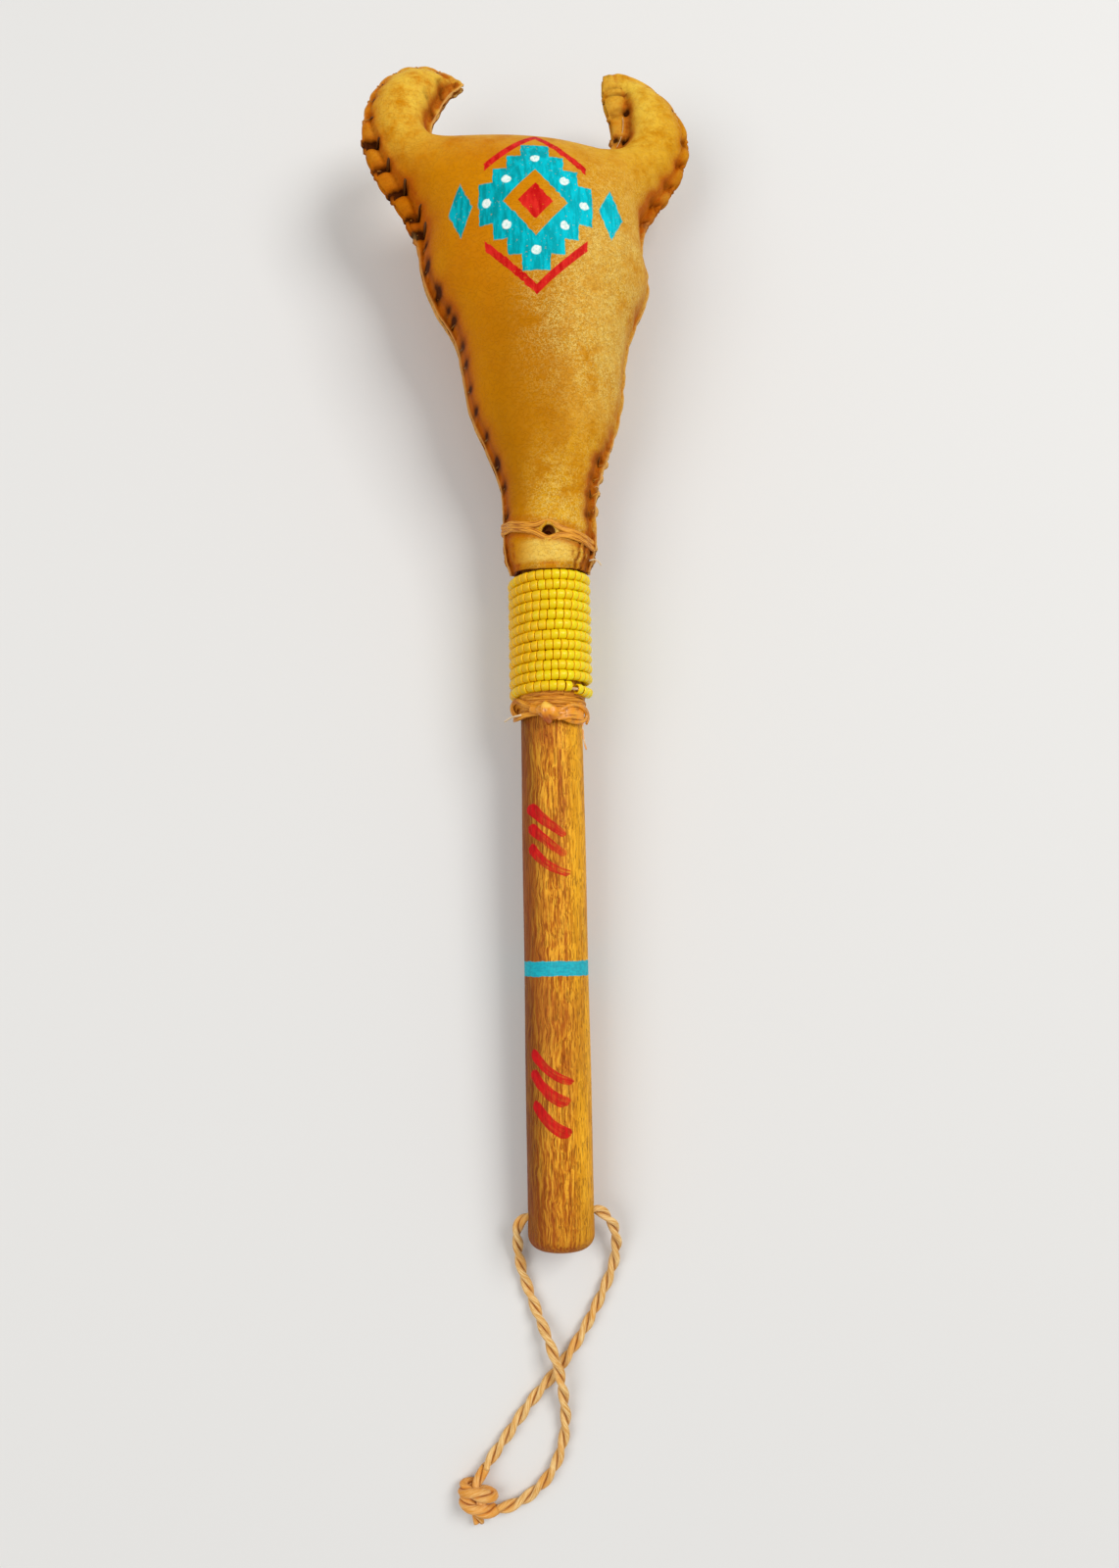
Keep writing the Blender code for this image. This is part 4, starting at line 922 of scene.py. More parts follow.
        # Painted shadow of the tie: brown above and below it, and dark just below it at the sides.
        self.brown += near_neck * (0.8 * np.exp(-((from_tie + 2.6) / 0.9) ** 2) + 0.4 * np.exp(-((from_tie - 2.6) / 1.0) ** 2))
        self.dark += near_neck * 0.25 * np.exp(-((from_tie + 2.0) / 0.5) ** 2) * eased(np.abs(x), 2.5, 6.0)
        wrinkles = np.sin(y * 2 * math.pi / 1.7 + 2.2 * uneven(self.flat, 8.0, seed + 9))
        patch = np.clip(0.5 + uneven(self.flat, 7.0, seed + 4), 0, 1)
        height = height + 0.15 * wrinkles * patch * full * np.exp(-((y - 219.0) / 7.5) ** 2)
        if self.side > 0:
            from_peg = np.linalg.norm(self.flat - PEG_SPOT_MM, axis=1)
            height = height + 0.45 * np.exp(-((from_peg - PEG_RIM_MM - 0.25) / 0.5) ** 2)
            self.brown -= 0.9 * np.exp(-((from_peg - PEG_RIM_MM - 0.2) / 0.45) ** 2)
            height = height - 0.5 * (1.0 - eased(from_peg, PEG_RIM_MM - 0.1, PEG_RIM_MM + 0.2))
        return height

    def spot(self, along, gap, sink):
        """A point of the surface at a place along the seam and in from its edge, sunk below the surface."""
        place = [np.interp(along, seam_along, sewn[:, k] + gap * seam_inward[:, k]) for k in range(2)]
        total, weight = np.zeros(3), 0.0
        for _, index, distance in self.tree.find_n((*place, 0), 4):
            share = 1.0 / (0.05 + distance)
            total += share * (self.surface[index] - sink * self.normals[index])
            weight += share
        return total / weight


# The face's design stands in the place of a painted picture, at its scale: its middle is given here, and half its
# height and the width of its steps in face_design.
DESIGN_MIDDLE_MM = (-1.7, 304.0)


def face_design(wire, spot, x, y, z, colour):
    """A generic geometric design in brushed turquoise, red and white."""
    wander = noise(wire, spot, 0.55, 3.0) - 0.5
    u = abs(x - DESIGN_MIDDLE_MM[0] + wander * 1.1)
    v = y - DESIGN_MIDDLE_MM[1] + wander * 0.9
    w = abs(v)
    brush = noise(wire, stretched(wire, spot, 1.0, 0.22, 1.0), 0.7, 3.0, 0.55)
    speck = noise(wire, spot, 1.3, 2.0)
    steps = (u / 4.2).maths("FLOOR") * 5.0
    diamond = (21.5 - (w + steps)).fade(-0.25, 0.25) * (17.0 - u).fade(-0.25, 0.25)
    inner = (11.0 - (w + u * 1.15)).fade(-0.25, 0.25)
    heart = (6.0 - (w + u * 1.15)).fade(-0.25, 0.25)
    wedge = (abs(u - 22.5) + w * 0.45).fade(4.0, 3.5)
    turquoise = (diamond * (1.0 - inner)).most(wedge)
    chevron = abs(w - 27.0 + u * 0.95).fade(1.7, 1.3) * u.fade(15.4, 15.0)
    dots = None
    for du, dv in ((0.0, 15.4), (8.6, 7.4), (14.4, 0.0)):
        gap = ((u - du) * (u - du) + (w - dv) * (w - dv)).maths("SQRT")
        dot = (gap + wander * 0.8).fade(1.55, 1.15)
        dots = dot if dots is None else dots.most(dot)
    face = z.fade(2.0, 5.0)
    worn = 1.0 - speck.fade(0.66, 0.72) * 0.5
    # The turquoise is painted lighter towards the right, as painted light from that side, over the brush's own
    # unevenness.
    colour = (turquoise * face * worn).over(colour, (brush.fade(0.36, 0.64) * 0.6 + x.fade(-18.0, 16.0) * 0.4).over((0, 138, 144), (0, 196, 210)))
    red = chevron.most(heart)
    colour = (red * face * worn).over(colour, brush.fade(0.34, 0.66).over((186, 14, 14), (216, 40, 32)))
    colour = (dots * face * 0.92).over(colour, speck.fade(0.3, 0.6).over((196, 226, 216), (244, 244, 236)))
    return colour, turquoise.most(red).most(dots) * face


def hide_finish(painted):
    def build(wire):
        spot, x, y, z = straight_place(wire)
        lip = attribute(wire, "lip")
        brown = attribute(wire, "brown")
        dark = attribute(wire, "dark")
        grain = noise(wire, spot, 1.1, 5.0, 0.7)
        speckle = noise(wire, spot, 2.4, 3.0, 0.6)
        cloud = noise(wire, spot, 0.05, 3.0)
        mottle = noise(wire, spot, 0.17, 4.0, 0.65)
        # These two masks draw thin curly and streaky lines, which are painted below as bright glints standing in for
        # gloss, and are also bumps.
        curl_glints = abs(noise(wire, spot, 0.70, 2.0, 0.65) - 0.5).fade(0.050, 0.012)
        thread = abs(noise(wire, stretched(wire, spot, 1.0, 0.7, 1.0), 1.15, 2.0, 0.6) - 0.5).fade(0.055, 0.012)
        crease = abs(noise(wire, stretched(wire, spot, 0.8, 1.2, 1.0), 0.55, 2.0, 0.6) - 0.52).fade(0.030, 0.008)
        # This mask marks the lower right of the face, where painted sheen lies.
        pale = x.fade(-2.0, 20.0) * y.fade(222.0, 262.0) * y.fade(338.0, 300.0)
        middle = x.fade(-12.0, 4.0) * y.fade(236.0, 280.0) * y.fade(310.0, 280.0)
        horn = y.fade(318.0, 348.0)
        neck = y.fade(244.0, 214.0) * x.fade(-10.0, 2.0)
        # The hide is painted a deeper orange towards its left: painted shade on the side away from the light.
        colour = x.fade(-24.0, 26.0).over((198, 118, 0), (204, 138, 2))
        colour = (cloud.fade(0.42, 0.62) * 0.4).over(colour, (206, 136, 0))
        # Painted shade darkens the middle of the face and the neck below it.
        deep = x.fade(-24.0, -10.0) * x.fade(12.0, 2.0) * y.fade(208.0, 222.0) * y.fade(296.0, 264.0)
        colour = (deep * 0.7).over(colour, (170, 104, 0))
        colour = (mottle.fade(0.44, 0.68) * (x.fade(-4.0, 16.0) * 0.30 + 0.05)).over(colour, (220, 162, 14))
        colour = (mottle.fade(0.52, 0.30) * (x.fade(-14.0, 10.0) * 0.30 + 0.06)).over(colour, (186, 114, 0))
        # Painted sheen: a soft pale glow over the lower right of the face and a little over its middle.
        soft = (pale * 0.60 + middle * 0.10) * (cloud * 1.1 + mottle * 0.5).fade(0.50, 1.05)
        colour = soft.over(colour, (228, 188, 88))
        tips = horn * (x.fade(-57.0, -42.0) * x.fade(48.0, 30.0) * 0.75 + 0.05)
        colour = (tips * mottle.fade(0.24, 0.60)).over(colour, (232, 192, 66))
        # Painted sheen on the neck, towards its right.
        colour = (neck * (mottle.fade(0.30, 0.66) * 0.5 + 0.1)).over(colour, (234, 178, 38))
        # Painted highlight on the puffed band between the rim and the tie.
        cuff_highlight = y.fade(207.5, 205.5) * y.fade(199.0, 201.0) * x.fade(-11.0, -3.0) * x.fade(11.0, 5.0)
        colour = (cuff_highlight * (0.35 + mottle * 0.5)).over(colour, (242, 206, 96))
        flecked = (pale * 0.7 + middle + neck * 0.8 + horn * 0.12 + 0.02).maths("MINIMUM", 1.0)
        patchy = flecked * mottle.fade(0.30, 0.56)
        colour = (grain.fade(0.52, 0.66) * (0.04 + 0.22 * flecked)).over(colour, (170, 102, 0))
        colour = (crease * (0.08 + 0.32 * flecked)).over(colour, (168, 98, 4))
        # Painted highlights: thin bright curly and streaky glints on the flecked parts of the hide, standing in for its
        # gloss.
        colour = (curl_glints * patchy * 0.50).over(colour, (246, 216, 124))
        colour = (thread * patchy * speckle.fade(0.42, 0.56) * 0.55).over(colour, (244, 212, 116))
        # The brown attribute is partly the sewn border's own colour and partly painted shade: in the seam's groove,
        # round the stitches, between the lobes, in the crinkles and neck folds, above the neck's rim and beside the
        # tie.
        colour = (brown.maths("MINIMUM", 1.0) * 0.85 * (0.6 + 0.8 * grain)).over(colour, (178, 82, 4))
        # The dark attribute is dirt with painted shade in the stitch pits and single pits, and painted shade in the
        # sunken groove, the crinkles' hollows, the neck's folds and under the tie.
        colour = (dark.maths("MINIMUM", 1.0) * 0.94).over(colour, (52, 18, 3))
        colour = (lip * 0.75).over(colour, (232, 186, 108))
        height = grain * 0.45 + speckle * 0.25 + (curl_glints + thread) * patchy * 0.5 - crease * 0.5
        roughness = 0.42 + speckle * 0.16
        if painted:
            colour, mask = face_design(wire, spot, x, y, z, colour)
            height = height * (1.0 - mask * 0.5) + mask * 0.4
            roughness = roughness - mask * 0.03
        return {"Base Color": colour, "Roughness": roughness, "Normal": bumped(wire, height, 0.00012)}
    return build


def add_panel(name, panel, material, node):
    mesh = bpy.data.meshes.new(name)
    order = panel.faces if panel.side > 0 else panel.faces[:, ::-1]
    mesh.from_pydata((panel.surface * 0.001).tolist(), [], order.tolist())
    for title, value in (("lip", panel.lip), ("brown", panel.brown), ("dark", panel.dark)):
        value = np.clip(value, 0.0, 20.0).astype(np.float32)
        mesh.attributes.new(title, "FLOAT", "POINT").data.foreach_set("value", value)
    normals = np.empty(len(panel.flat) * 3, np.float32)
    mesh.vertex_normals.foreach_get("vector", normals)
    panel.normals = normals.reshape(-1, 3).astype(float)
    mesh.shade_smooth()
    mesh.materials.append(material)
    made = bpy.data.objects.new(name, mesh)
    bpy.context.scene.collection.objects.link(made)
    lay_down(made)
    for v in mesh.vertices:
        v.co.z = max(v.co.z, 0.0)
    wall = made.modifiers.new("hide wall", "SOLIDIFY")
    wall.thickness = HIDE_WALL_MM * 0.001
    wall.offset = -1.0
    bpy.ops.object.select_all(action="DESELECT")
    made.select_set(True)
    bpy.context.view_layer.objects.active = made
    bpy.ops.object.modifier_apply(modifier=wall.name)
    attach(made, "rattle")
    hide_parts(node)
    return made


front = Panel(1, FACE_FULLNESS, True, 0.0, 3)
back = Panel(-1, BACK_FULLNESS, False, BACK_NECK_ARCH_MM, 4)
hide_look = {"Specular_IOR_Level": 0.03}
add_panel("hide_front", front, finish("painted rawhide", hide_finish(True), **hide_look), "head_front_panel")
add_panel("hide_back", back, finish("plain rawhide", hide_finish(False), **hide_look), "head_back_panel")


# Seam laces: one sinew thread for each stretch of seam. It comes up through the pit of each stitch, passes
# over the edge where the hide is pinched right through, and runs to the next stitch on the back.
LACE_ACROSS = 0.0006
LACE_THICK = 0.00032
LACE_SPACING = 0.0004
ROUND_EDGE = ("slot", "scallop", "whip")
NO_THREAD = ("pleat", "ring", "fold")
SUNKEN = ("hole", "tuck", "whip")


def sinew_finish(wire):
    fibres = noise(wire, strand_map(wire, 0.22, 3.4), 1.0, 4.0, 0.62)
    shade = attribute(wire, "tone")
    colour = fibres.fade(0.36, 0.62).over((158, 78, 4), (234, 162, 48))
    # A low tone paints the lace dark where it sinks into a pit, partly as the sinew's darker colour and partly as
    # painted shade; a high tone is the pale colour of loose ends.
    colour = (shade.fade(0.45, 0.0) * 0.9).over(colour, (58, 22, 4))
    colour = (shade.fade(0.6, 1.0) * 0.9).over(colour, fibres.fade(0.3, 0.7).over((224, 196, 150), (246, 232, 206)))
    return {"Base Color": colour, "Roughness": 0.34 + fibres * 0.2, "Normal": bumped(wire, fibres, 0.00018)}


sinew = finish("sinew", sinew_finish, Specular_IOR_Level=0.22)


def knot_finish(wire):
    """Waxed sinew drawn hard and handled till it shines like amber, with painted shade at its lower left and a painted
    highlight on its top.
    """
    look = sinew_finish(wire)
    spot, x, y, z = straight_place(wire)
    glow = noise(wire, spot, 0.5, 2.0)
    look["Base Color"] = (glow.fade(0.36, 0.56) * 0.75).over(look["Base Color"], (238, 150, 6))
    # Painted shade under the knot's lower left.
    look["Base Color"] = (y.fade(154.4, 151.8) * x.fade(3.4, -1.0) * 0.8).over(look["Base Color"], (150, 52, 2))
    # Painted highlight on the top of the knot.
    knot_highlight = y.fade(154.6, 155.8) * x.fade(-3.6, -1.6) * x.fade(1.0, -1.0) * z.fade(11.4, 12.4)
    look["Base Color"] = (knot_highlight * 0.7).over(look["Base Color"], (255, 214, 96))
    look["Roughness"] = 0.18 + glow * 0.12
    return look


def seam_lace(name, node, first, last, ends=()):
    """The lace of one stretch, with its loose ends given as (along, in from the edge, height) in mm."""
    work = bmesh.new()
    line, tones = [], []

    def lead(panel, along, gap, sink, tone):
        line.append(panel.spot(along, gap, sink))
        tones.append(tone)

    stitches = sorted((place, kind) for kind, places in STITCHES_MM.items() for place in places
                      if kind not in NO_THREAD and first < place < last)
    for (place, kind), (after, _) in zip(stitches, stitches[1:] + [(last, "")]):
        width = np.interp(place, *zip(*BORDER_MM))
        lead(back, place - 0.4, width, 0.25, 0.3)
        # The low tones below paint the lace dark where it dives into a pit, partly as darker sinew and partly as
        # painted shade.
        if kind != "soft":
            lead(back, place - 0.3, width, 1.6, 0.1)
            lead(front, place - 0.3, width + 0.1, 1.4, 0.1)
            lead(front, place - 0.2, width, 0.7 if kind in SUNKEN else 0.12, 0.05)
        if kind == "soft":
            lead(back, place + 0.3, width, 0.2, 0.3)
        elif kind in ROUND_EDGE:
            slant = STITCH_SHAPES[kind][5]
            paler = {"whip": 0.1, "slot": -0.1}.get(kind, 0.0)
            for share, tone in ((0.7, 0.1), (0.35, 0.25), (0.08, 0.4)):
                lead(front, place + slant * width * share, width * share, 0.3, tone + paler)
            for share, tone in ((0.08, 0.4), (0.35, 0.4), (0.7, 0.3)):
                lead(back, place + 0.4 + slant * width * share, width * share, 0.12, tone)
        else:
            lead(front, place + 0.5, width - 0.5, 0.7 if kind in SUNKEN else 0.2, 0.2)
            lead(front, place + 0.6, width - 0.5, 1.4, 0.1)
            lead(back, place + 0.6, width - 0.4, 1.4, 0.1)
        for step in np.arange(1.4, after - place - 1.0, 1.6):
            lead(back, place + step, np.interp(place + step, *zip(*BORDER_MM)), 0.15, 0.4)
    line = np.array(line) * 0.001
    path = smooth_run(np.column_stack([line, np.array(tones) * 0.001]), LACE_SPACING)
    path, tone = path[:, :3], path[:, 3] * 1000
    swept(work, path, carried_normals(path, (0.3, 0.2, 1)), oval(LACE_ACROSS, LACE_THICK, 8), tone=tone)
    for end in ends:
        add_whisker(work, [front.spot(along, gap, -height) for along, gap, height in end], 0.00026, 0.8)
    made = lay_down(piece_from(name, work, sinew))
    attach(made, "rattle")
    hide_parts(node)


def add_whisker(work, route, thickness=0.00034, tone=1.0):
    """A loose thread end, in millimetres in the straight frame."""
    path = smooth_run(np.array(route) * 0.001, 0.0004)
    swept(work, path, carried_normals(path, (0.1, 0.2, 1)), oval(thickness / 2, thickness / 2, 6), tone=tone)


corner_one = lengths(runs[0])[-1]
corner_two = corner_one + lengths(runs[1])[-1]
seam_lace("lace_left", "seam_lace_left", 16.0, corner_one - 3.0)
seam_lace("lace_crown", "seam_lace_crown", corner_one + 3.0, corner_two - 3.0,
          [[(291.0, 3.6, -0.4), (289.4, 3.4, 0.2), (286.2, 2.9, 0.25), (283.2, 2.2, 0.3), (280.4, 1.6, 0.2)]])
seam_lace("lace_right", "seam_lace_right", corner_two + 3.0, seam_along[-1] - 14.0,
          [[(470.6, 1.6, -0.2), (470.4, 0.6, 0.25), (470.8, -0.6, 0.4), (471.6, -1.9, 0.2)]])


# Beaded band: one strand of glossy yellow seed beads on a thread, wound in twelve rows round the handle.
BEAD_RADIUS = 0.00158
BEAD_LENGTH = 0.00215
BEAD_EDGE = 0.00044
BEAD_SIDES = 12
BEADS_PER_TURN = 32
BEAD_ROW_PITCH = 0.003055
BEAD_ROWS = 12
BEAD_TOP = 0.1959
BEAD_CENTRE = BAND_RADIUS + 0.0003 + BEAD_RADIUS
# The strand starts and ends behind the handle, and its last row hangs lower at the right.
STRAND_START = math.radians(-125)
STRAND_END = 2 * math.pi * (BEAD_ROWS - 1) + math.radians(125)
LAST_ROW_DROP = 0.0015
# One bead is missing from the last row, so that its thread shows.
BARE_THREAD = 2 * math.pi * (BEAD_ROWS - 1) - 0.67


def bead_finish(wire):
    spot, x, y, z = straight_place(wire)
    each = attribute(wire, "tone")
    rim = attribute(wire, "rim")
    # Painted shade: the beads are a deeper ochre towards the left and lemon towards the right, where the light falls.
    colour = x.fade(-10.0, 6.0).over((218, 168, 0), (234, 210, 0))
    colour = (each.fade(0.45, 1.0) * 0.30).over(colour, (232, 176, 10))
    colour = (each.fade(0.30, 0.0) * 0.30).over(colour, (228, 224, 6))
    # Painted light: the bead ends, which face into the grooves between beads, are painted a bright warm orange,
    # standing in for light through the glass.
    colour = (rim * 0.8).over(colour, (255, 196, 0))
    return {"Base Color": colour, "Roughness": 0.26 + each * 0.1}


def model_bead():
    """One bead about its own axis: a short barrel of glass with rounded ends and its hole."""
    bpy.ops.object.select_all(action="DESELECT")
    bpy.ops.mesh.primitive_cylinder_add(vertices=BEAD_SIDES, radius=BEAD_RADIUS, depth=BEAD_LENGTH)
    made = bpy.context.object
    bpy.ops.object.mode_set(mode="EDIT")
    bpy.ops.mesh.select_mode(type="FACE")
    bpy.ops.mesh.select_all(action="DESELECT")
    bpy.ops.object.mode_set(mode="OBJECT")
    for face in made.data.polygons:
        face.select = abs(face.normal.z) > 0.9
    bpy.ops.object.mode_set(mode="EDIT")
    bpy.ops.mesh.bevel(offset=BEAD_EDGE, segments=2, profile=0.55)
    bpy.ops.mesh.select_all(action="DESELECT")
    bpy.ops.object.mode_set(mode="OBJECT")
    for face in made.data.polygons:
        face.select = len(face.vertices) == BEAD_SIDES
    bpy.ops.object.mode_set(mode="EDIT")
    bpy.ops.mesh.bridge_edge_loops()
    bpy.ops.object.mode_set(mode="OBJECT")
    made.data.shade_smooth()
    return made


def model_bead_strand():
    """The strand's beads, laid one after another with their own small differences in length."""
    rng = np.random.default_rng(8)
    first = model_bead()
    first.data.materials.append(finish("yellow bead", bead_finish, Specular_IOR_Level=0.3))
    count = round((STRAND_END - STRAND_START) / (2 * math.pi) * BEADS_PER_TURN)
    longs = np.clip(1.0 + rng.normal(size=count) * 0.07, 0.85, 1.2)
    ends = STRAND_START + (STRAND_END - STRAND_START) * np.concatenate([[0], np.cumsum(longs)]) / longs.sum()
    shape = np.array([v.co for v in first.data.vertices])
    # The bead ends, which the bead finish paints bright orange as painted light.
    lit_bead_ends = (np.abs(shape[:, 2]) > BEAD_LENGTH / 2 - BEAD_EDGE * 0.6).astype(np.float32)
    copies = []
    for a, long in zip((ends[:-1] + ends[1:]) / 2, longs):
        wobble = rng.normal(size=5)
        if abs(a - BARE_THREAD) < math.pi / BEADS_PER_TURN:
            continue
        drop = LAST_ROW_DROP * math.exp(-((a - 2 * math.pi * (BEAD_ROWS - 1) + 1.25) / 0.62) ** 2)
        across, beside, along = (shape * (1.0 + 0.012 * wobble[0], 1.0 + 0.012 * wobble[1], long)).T
        turn = a + along / BEAD_CENTRE
        if abs(a - BARE_THREAD) < 3 * math.pi / BEADS_PER_TURN:
            turn = turn + 0.022 * np.sign(BARE_THREAD - a)
        radius = BEAD_CENTRE + across + 0.00003 * wobble[2]
        y = BEAD_TOP - BEAD_ROW_PITCH * turn / (2 * math.pi) - drop + beside + 0.00004 * wobble[3]
        y += along * 0.03 * wobble[4]
        copy = first.copy()
        copy.data = first.data.copy()
        placed = np.stack([-np.sin(turn) * radius, y, np.cos(turn) * radius], axis=1)
        copy.data.vertices.foreach_set("co", placed.ravel())
        value = np.full(len(copy.data.vertices), rng.uniform(), np.float32)
        copy.data.attributes.new("tone", "FLOAT", "POINT").data.foreach_set("value", value)
        copy.data.attributes.new("rim", "FLOAT", "POINT").data.foreach_set("value", lit_bead_ends)
        bpy.context.scene.collection.objects.link(copy)
        copies.append(copy)
    bpy.data.objects.remove(first, do_unlink=True)
    bpy.ops.object.select_all(action="DESELECT")
    for copy in copies:
        copy.select_set(True)
    bpy.context.view_layer.objects.active = copies[0]
    bpy.ops.object.join()
    copies[0].name = "bead_band"
    return lay_down(copies[0])


beads = model_bead_strand()
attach(beads, "rattle")
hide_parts("bead_strand")


# Sinew wrap: flat strands of waxed sinew that stop the beads, tied off on the face with a small glossy
# knot whose loop lies to the right.
WRAP_STRANDS_MM = (
    # start, half width, half thickness, first angle, turns, drift along the handle
    (160.4, 0.95, 0.40, 0.4, 1.0, 0.1), (158.9, 0.90, 0.45, 1.6, 1.0, -0.3), (157.6, 0.95, 0.45, 2.9, 1.0, 0.2),
    (156.3, 0.85, 0.40, 4.0, 1.0, -0.2), (159.6, 0.55, 0.62, 2.2, 1.1, -1.6),
)


def ring_path(radius, start_angle, turns, start_y, drift, seed):
    """Points of a strand wound round the handle, in metres, with their outward ways."""
    a = start_angle + np.linspace(0, 2 * math.pi * turns, int(110 * turns))
    wave = np.sin(3 * a + seed) * 0.16 + np.sin(7 * a + 2 * seed) * 0.07
    y = start_y + drift * np.linspace(0, 1, len(a)) + wave
    out = np.stack([np.sin(a), np.zeros(len(a)), np.cos(a)], axis=1)
    path = out * (radius + 0.06 * np.sin(5 * a + seed))[:, None]
    path[:, 1] = y
    return path * 0.001, out


def model_wrap():
    work = bmesh.new()
    for seed, (start, half, thick, angle, turns, drift) in enumerate(WRAP_STRANDS_MM):
        path, out = ring_path(BAND_RADIUS * 1000 + 0.15 + thick, angle, turns, start, drift, seed)
        swept(work, path, out, oval(half * 0.001, thick * 0.001, 14))
    hook = [(-3.5, 156.0, 9.6), (-6.6, 156.8, 8.0), (-8.8, 158.2, 6.0), (-10.3, 159.0, 4.2), (-11.4, 158.6, 2.8),
            (-11.9, 157.4, 2.0), (-11.6, 155.9, 2.2), (-10.9, 154.7, 3.0), (-9.9, 154.2, 3.8)]
    side = [(-9.0, 158.6, 4.4), (-10.4, 157.9, 2.4), (-10.9, 156.6, 1.0), (-10.6, 155.2, 0.6), (-9.8, 154.4, 1.0)]
    lower = [(-11.0, 154.2, 1.5), (-9.9, 153.9, 5.0), (-7.4, 154.3, 7.6), (-4.6, 154.6, 9.1), (-2.0, 154.7, 10.0)]
    for route, half in ((hook, 0.95), (side, 1.1), (lower, 1.2)):
        path = smooth_run(np.array(route) * 0.001, 0.0004)
        swept(work, path, carried_normals(path, (0, 0, 1)), oval(half * 0.001, 0.00055, 12))
    bare = BARE_THREAD + np.linspace(-0.16, 0.16, 9)
    bare_y = (BEAD_TOP - BEAD_ROW_PITCH * bare / (2 * math.pi) - LAST_ROW_DROP * 0.4) * 1000 - 0.5
    reach = BEAD_CENTRE * 1000 + 0.5
    add_whisker(work, np.stack([-np.sin(bare) * reach, bare_y, np.cos(bare) * reach], axis=1), 0.0009, 0.8)
    add_whisker(work, [(-9.0, 154.3, 7.0), (-10.6, 154.2, 5.6), (-12.2, 154.1, 4.0), (-13.4, 153.6, 2.6),
                       (-14.2, 153.2, 2.0)], 0.0006)
    return lay_down(piece_from("wrap_band", work, sinew))


def model_wrap_knot():
    """A half knot over the band, with its loop laid flat to the right and its thin end hanging down."""
    work = bmesh.new()
    under = [(-6.0, 155.6, 8.4), (-4.4, 155.4, 9.8), (-3.0, 155.0, 10.8), (-1.0, 154.4, 11.3), (1.2, 153.8, 11.1),
             (2.8, 153.7, 10.6), (4.0, 153.9, 10.1)]
    lump = [(-4.4, 155.2, 10.2), (-3.0, 155.1, 11.0), (-1.4, 154.6, 11.5), (0.2, 154.0, 11.5), (1.6, 153.5, 11.0),
            (2.6, 153.2, 10.4)]
    over = [(-0.6, 156.6, 10.6), (-1.2, 156.0, 11.9), (-1.6, 154.9, 13.0), (-1.5, 153.6, 12.9), (-0.9, 152.5, 12.0),
            (-0.2, 151.9, 10.8)]
    loop = [(1.4, 154.2, 11.4), (3.4, 155.2, 10.9), (5.6, 156.4, 9.9), (7.8, 156.7, 8.4), (9.6, 156.0, 6.6),
            (10.5, 154.4, 5.0), (9.9, 152.7, 5.4), (8.0, 151.8, 7.3), (5.8, 151.9, 8.9), (3.6, 152.6, 10.2),
            (1.2, 153.2, 11.2)]
    filling = [(1.6, 153.7, 11.3), (3.4, 154.0, 10.8), (5.6, 154.3, 9.8), (7.6, 154.3, 8.3), (9.4, 154.3, 6.3)]
    tail = [(8.6, 156.7, 6.9), (10.2, 156.3, 5.0), (11.0, 154.9, 3.6), (11.0, 153.2, 3.2), (10.4, 151.8, 3.8)]
    for route, half, thick, fat in ((under, 1.3, 0.9, False), (lump, 2.5, 1.7, True), (over, 1.7, 0.7, False),
                                    (loop, 0.70, 0.55, False), (filling, 2.0, 0.35, False), (tail, 0.42, 0.34, False)):
        path = smooth_run(np.array(route) * 0.001, 0.00035)
        sizes = np.sin(np.linspace(0.12, math.pi - 0.12, len(path))) ** 0.6 if fat else None
        swept(work, path, carried_normals(path, (0, 0, 1)), oval(half * 0.001, thick * 0.001, 16), sizes)
    add_whisker(work, [(9.2, 152.4, 5.6), (9.3, 150.2, 5.4), (9.4, 147.8, 5.3), (9.8, 145.4, 5.2), (10.2, 143.8, 5.4)],
                0.0005)
    return lay_down(piece_from("wrap_knot", work, finish("drawn sinew", knot_finish, Specular_IOR_Level=0.5)))


for piece, node in ((model_wrap(), "handle_wrap"), (model_wrap_knot(), "handle_wrap_knot")):
    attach(piece, "rattle")
    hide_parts(node)


# Neck tie: two flat strands of sinew drawn tight over the hide, parting round the peg's hole.
TIE_STRAND_HALF = 0.00100
TIE_STRAND_THICK = 0.00050


def neck_section(panel, y):
    """The neck's outline at one place: the panel's surface points within a thin slice."""
    near = np.abs(panel.surface[:, 1] - y) < 0.8
    points = panel.surface[near]
    return points[np.argsort(points[:, 0])]


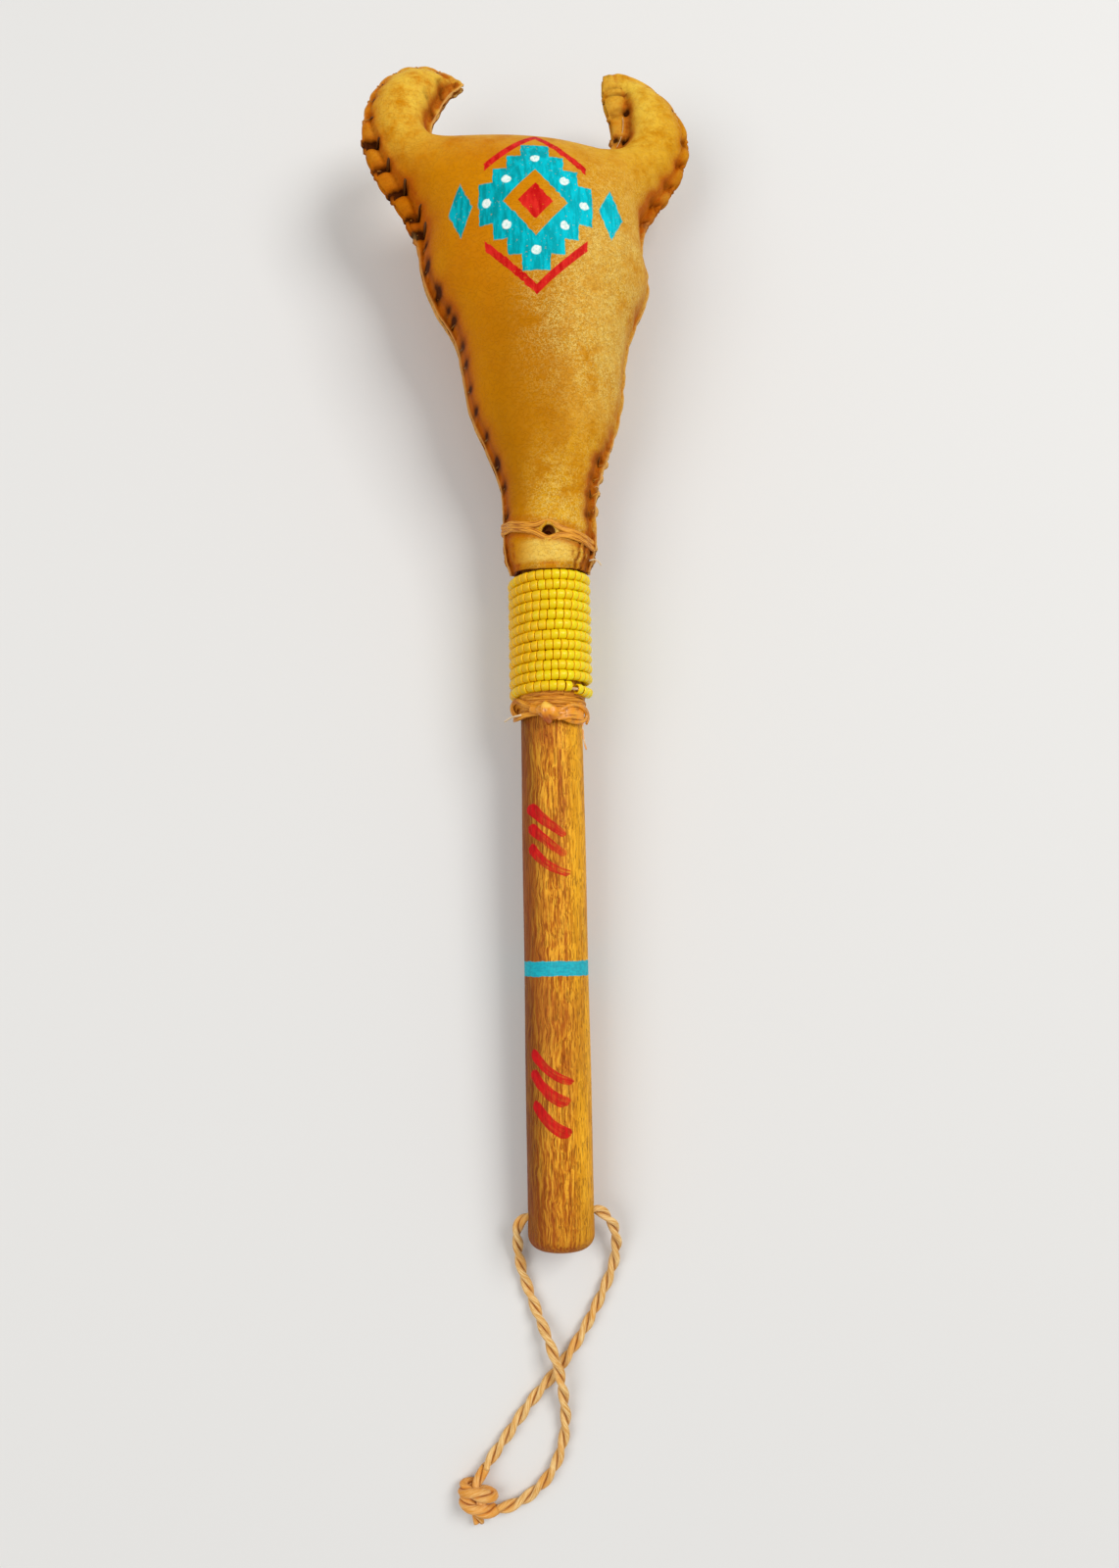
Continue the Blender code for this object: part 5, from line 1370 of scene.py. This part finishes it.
def model_tie():
    work = bmesh.new()
    reach = {}
    for panel in (front, back):
        points = neck_section(panel, TIE_PLACE_MM)
        angles = np.arctan2(points[:, 0], points[:, 2] * 1.0)
        order = np.argsort(angles)
        reach[panel.side] = (angles[order], np.hypot(points[:, 0], points[:, 2])[order])
    for offset in (1.0, -1.0):
        a = np.linspace(0.0, 2 * math.pi, 200) + math.pi
        turned = np.angle(np.exp(1j * a))
        radius = np.zeros(len(a))
        for index, angle in enumerate(turned):
            table = reach[1] if abs(angle) < math.pi / 2 else reach[-1]
            angles, sizes = table
            if table is reach[-1]:
                angles = np.where(angles < 0, angles + 2 * math.pi, angles)
                order = np.argsort(angles)
                angles, sizes = angles[order], sizes[order]
                angle = angle % (2 * math.pi)
            radius[index] = np.interp(angle, angles, sizes)
        kernel = np.hanning(11) / np.hanning(11).sum()
        radius = np.convolve(np.concatenate([radius[-5:], radius, radius[:5]]), kernel, "valid")
        parted = np.exp(-(turned / 0.23) ** 2)
        x = (radius + 0.25) * np.sin(a)
        y = tie_line(x) + offset * (0.85 + 1.75 * parted) + 0.12 * np.sin(4 * a + offset)
        path = np.stack([x, y, (radius + 0.25) * np.cos(a)], axis=1) * 0.001
        out = np.stack([np.sin(a), np.zeros(len(a)), np.cos(a)], axis=1)
        swept(work, path[:-1], out[:-1], oval(TIE_STRAND_HALF, TIE_STRAND_THICK, 12))
    add_whisker(work, [(12.4, 202.4, 3.0), (14.0, 202.7, 3.2), (15.2, 202.1, 3.0), (16.1, 200.9, 2.8)], 0.0005)
    return lay_down(piece_from("tie_strands", work, sinew))


tie = model_tie()
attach(tie, "rattle")
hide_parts("neck_tie")


# Pebbles: worn stones loose in the head. They are the frame's own solids, and only need their finish.
def stone_finish(wire):
    spot, x, y, z = straight_place(wire)
    grain = noise(wire, spot, 1.2, 4.0)
    colour = grain.fade(0.35, 0.65).over((120, 110, 100), (176, 166, 152))
    return {"Base Color": colour, "Normal": bumped(wire, grain, 0.0001)}


stone = finish("river stone", stone_finish, Roughness=0.7)
for name, node in frame["nodes"].items():
    if name.startswith("pebble"):
        node.data.materials.clear()
        node.data.materials.append(stone)


# Stage: a plain pale table under soft light from the right.
def table_finish(wire):
    return {}


bpy.ops.object.select_all(action="DESELECT")
bpy.ops.mesh.primitive_plane_add(size=6, location=(0, 0, -0.0001))
table = bpy.context.object
table.name = "table"
table.data.materials.append(finish("pale table", table_finish, Base_Color=(0.72, 0.71, 0.69, 1.0), Roughness=0.9))
for name, place, power, size in (("key light", (0.90, 0.45, 1.30), 16.0, 0.8), ("fill light", (-0.8, -0.2, 1.2), 7.5, 1.0)):
    bpy.ops.object.select_all(action="DESELECT")
    bpy.ops.object.light_add(type="AREA", location=place)
    lamp = bpy.context.object
    lamp.name = name
    lamp.data.energy = power
    lamp.data.size = size
    lamp.rotation_euler = (Vector((0, 0.05, 0)) - Vector(place)).to_track_quat("-Z", "Y").to_euler()
world = bpy.data.worlds.new("soft room")
world.use_nodes = True
world.node_tree.nodes["Background"].inputs["Color"].default_value = (1.0, 1.0, 1.0, 1.0)
world.node_tree.nodes["Background"].inputs["Strength"].default_value = 0.45
bpy.context.scene.world = world
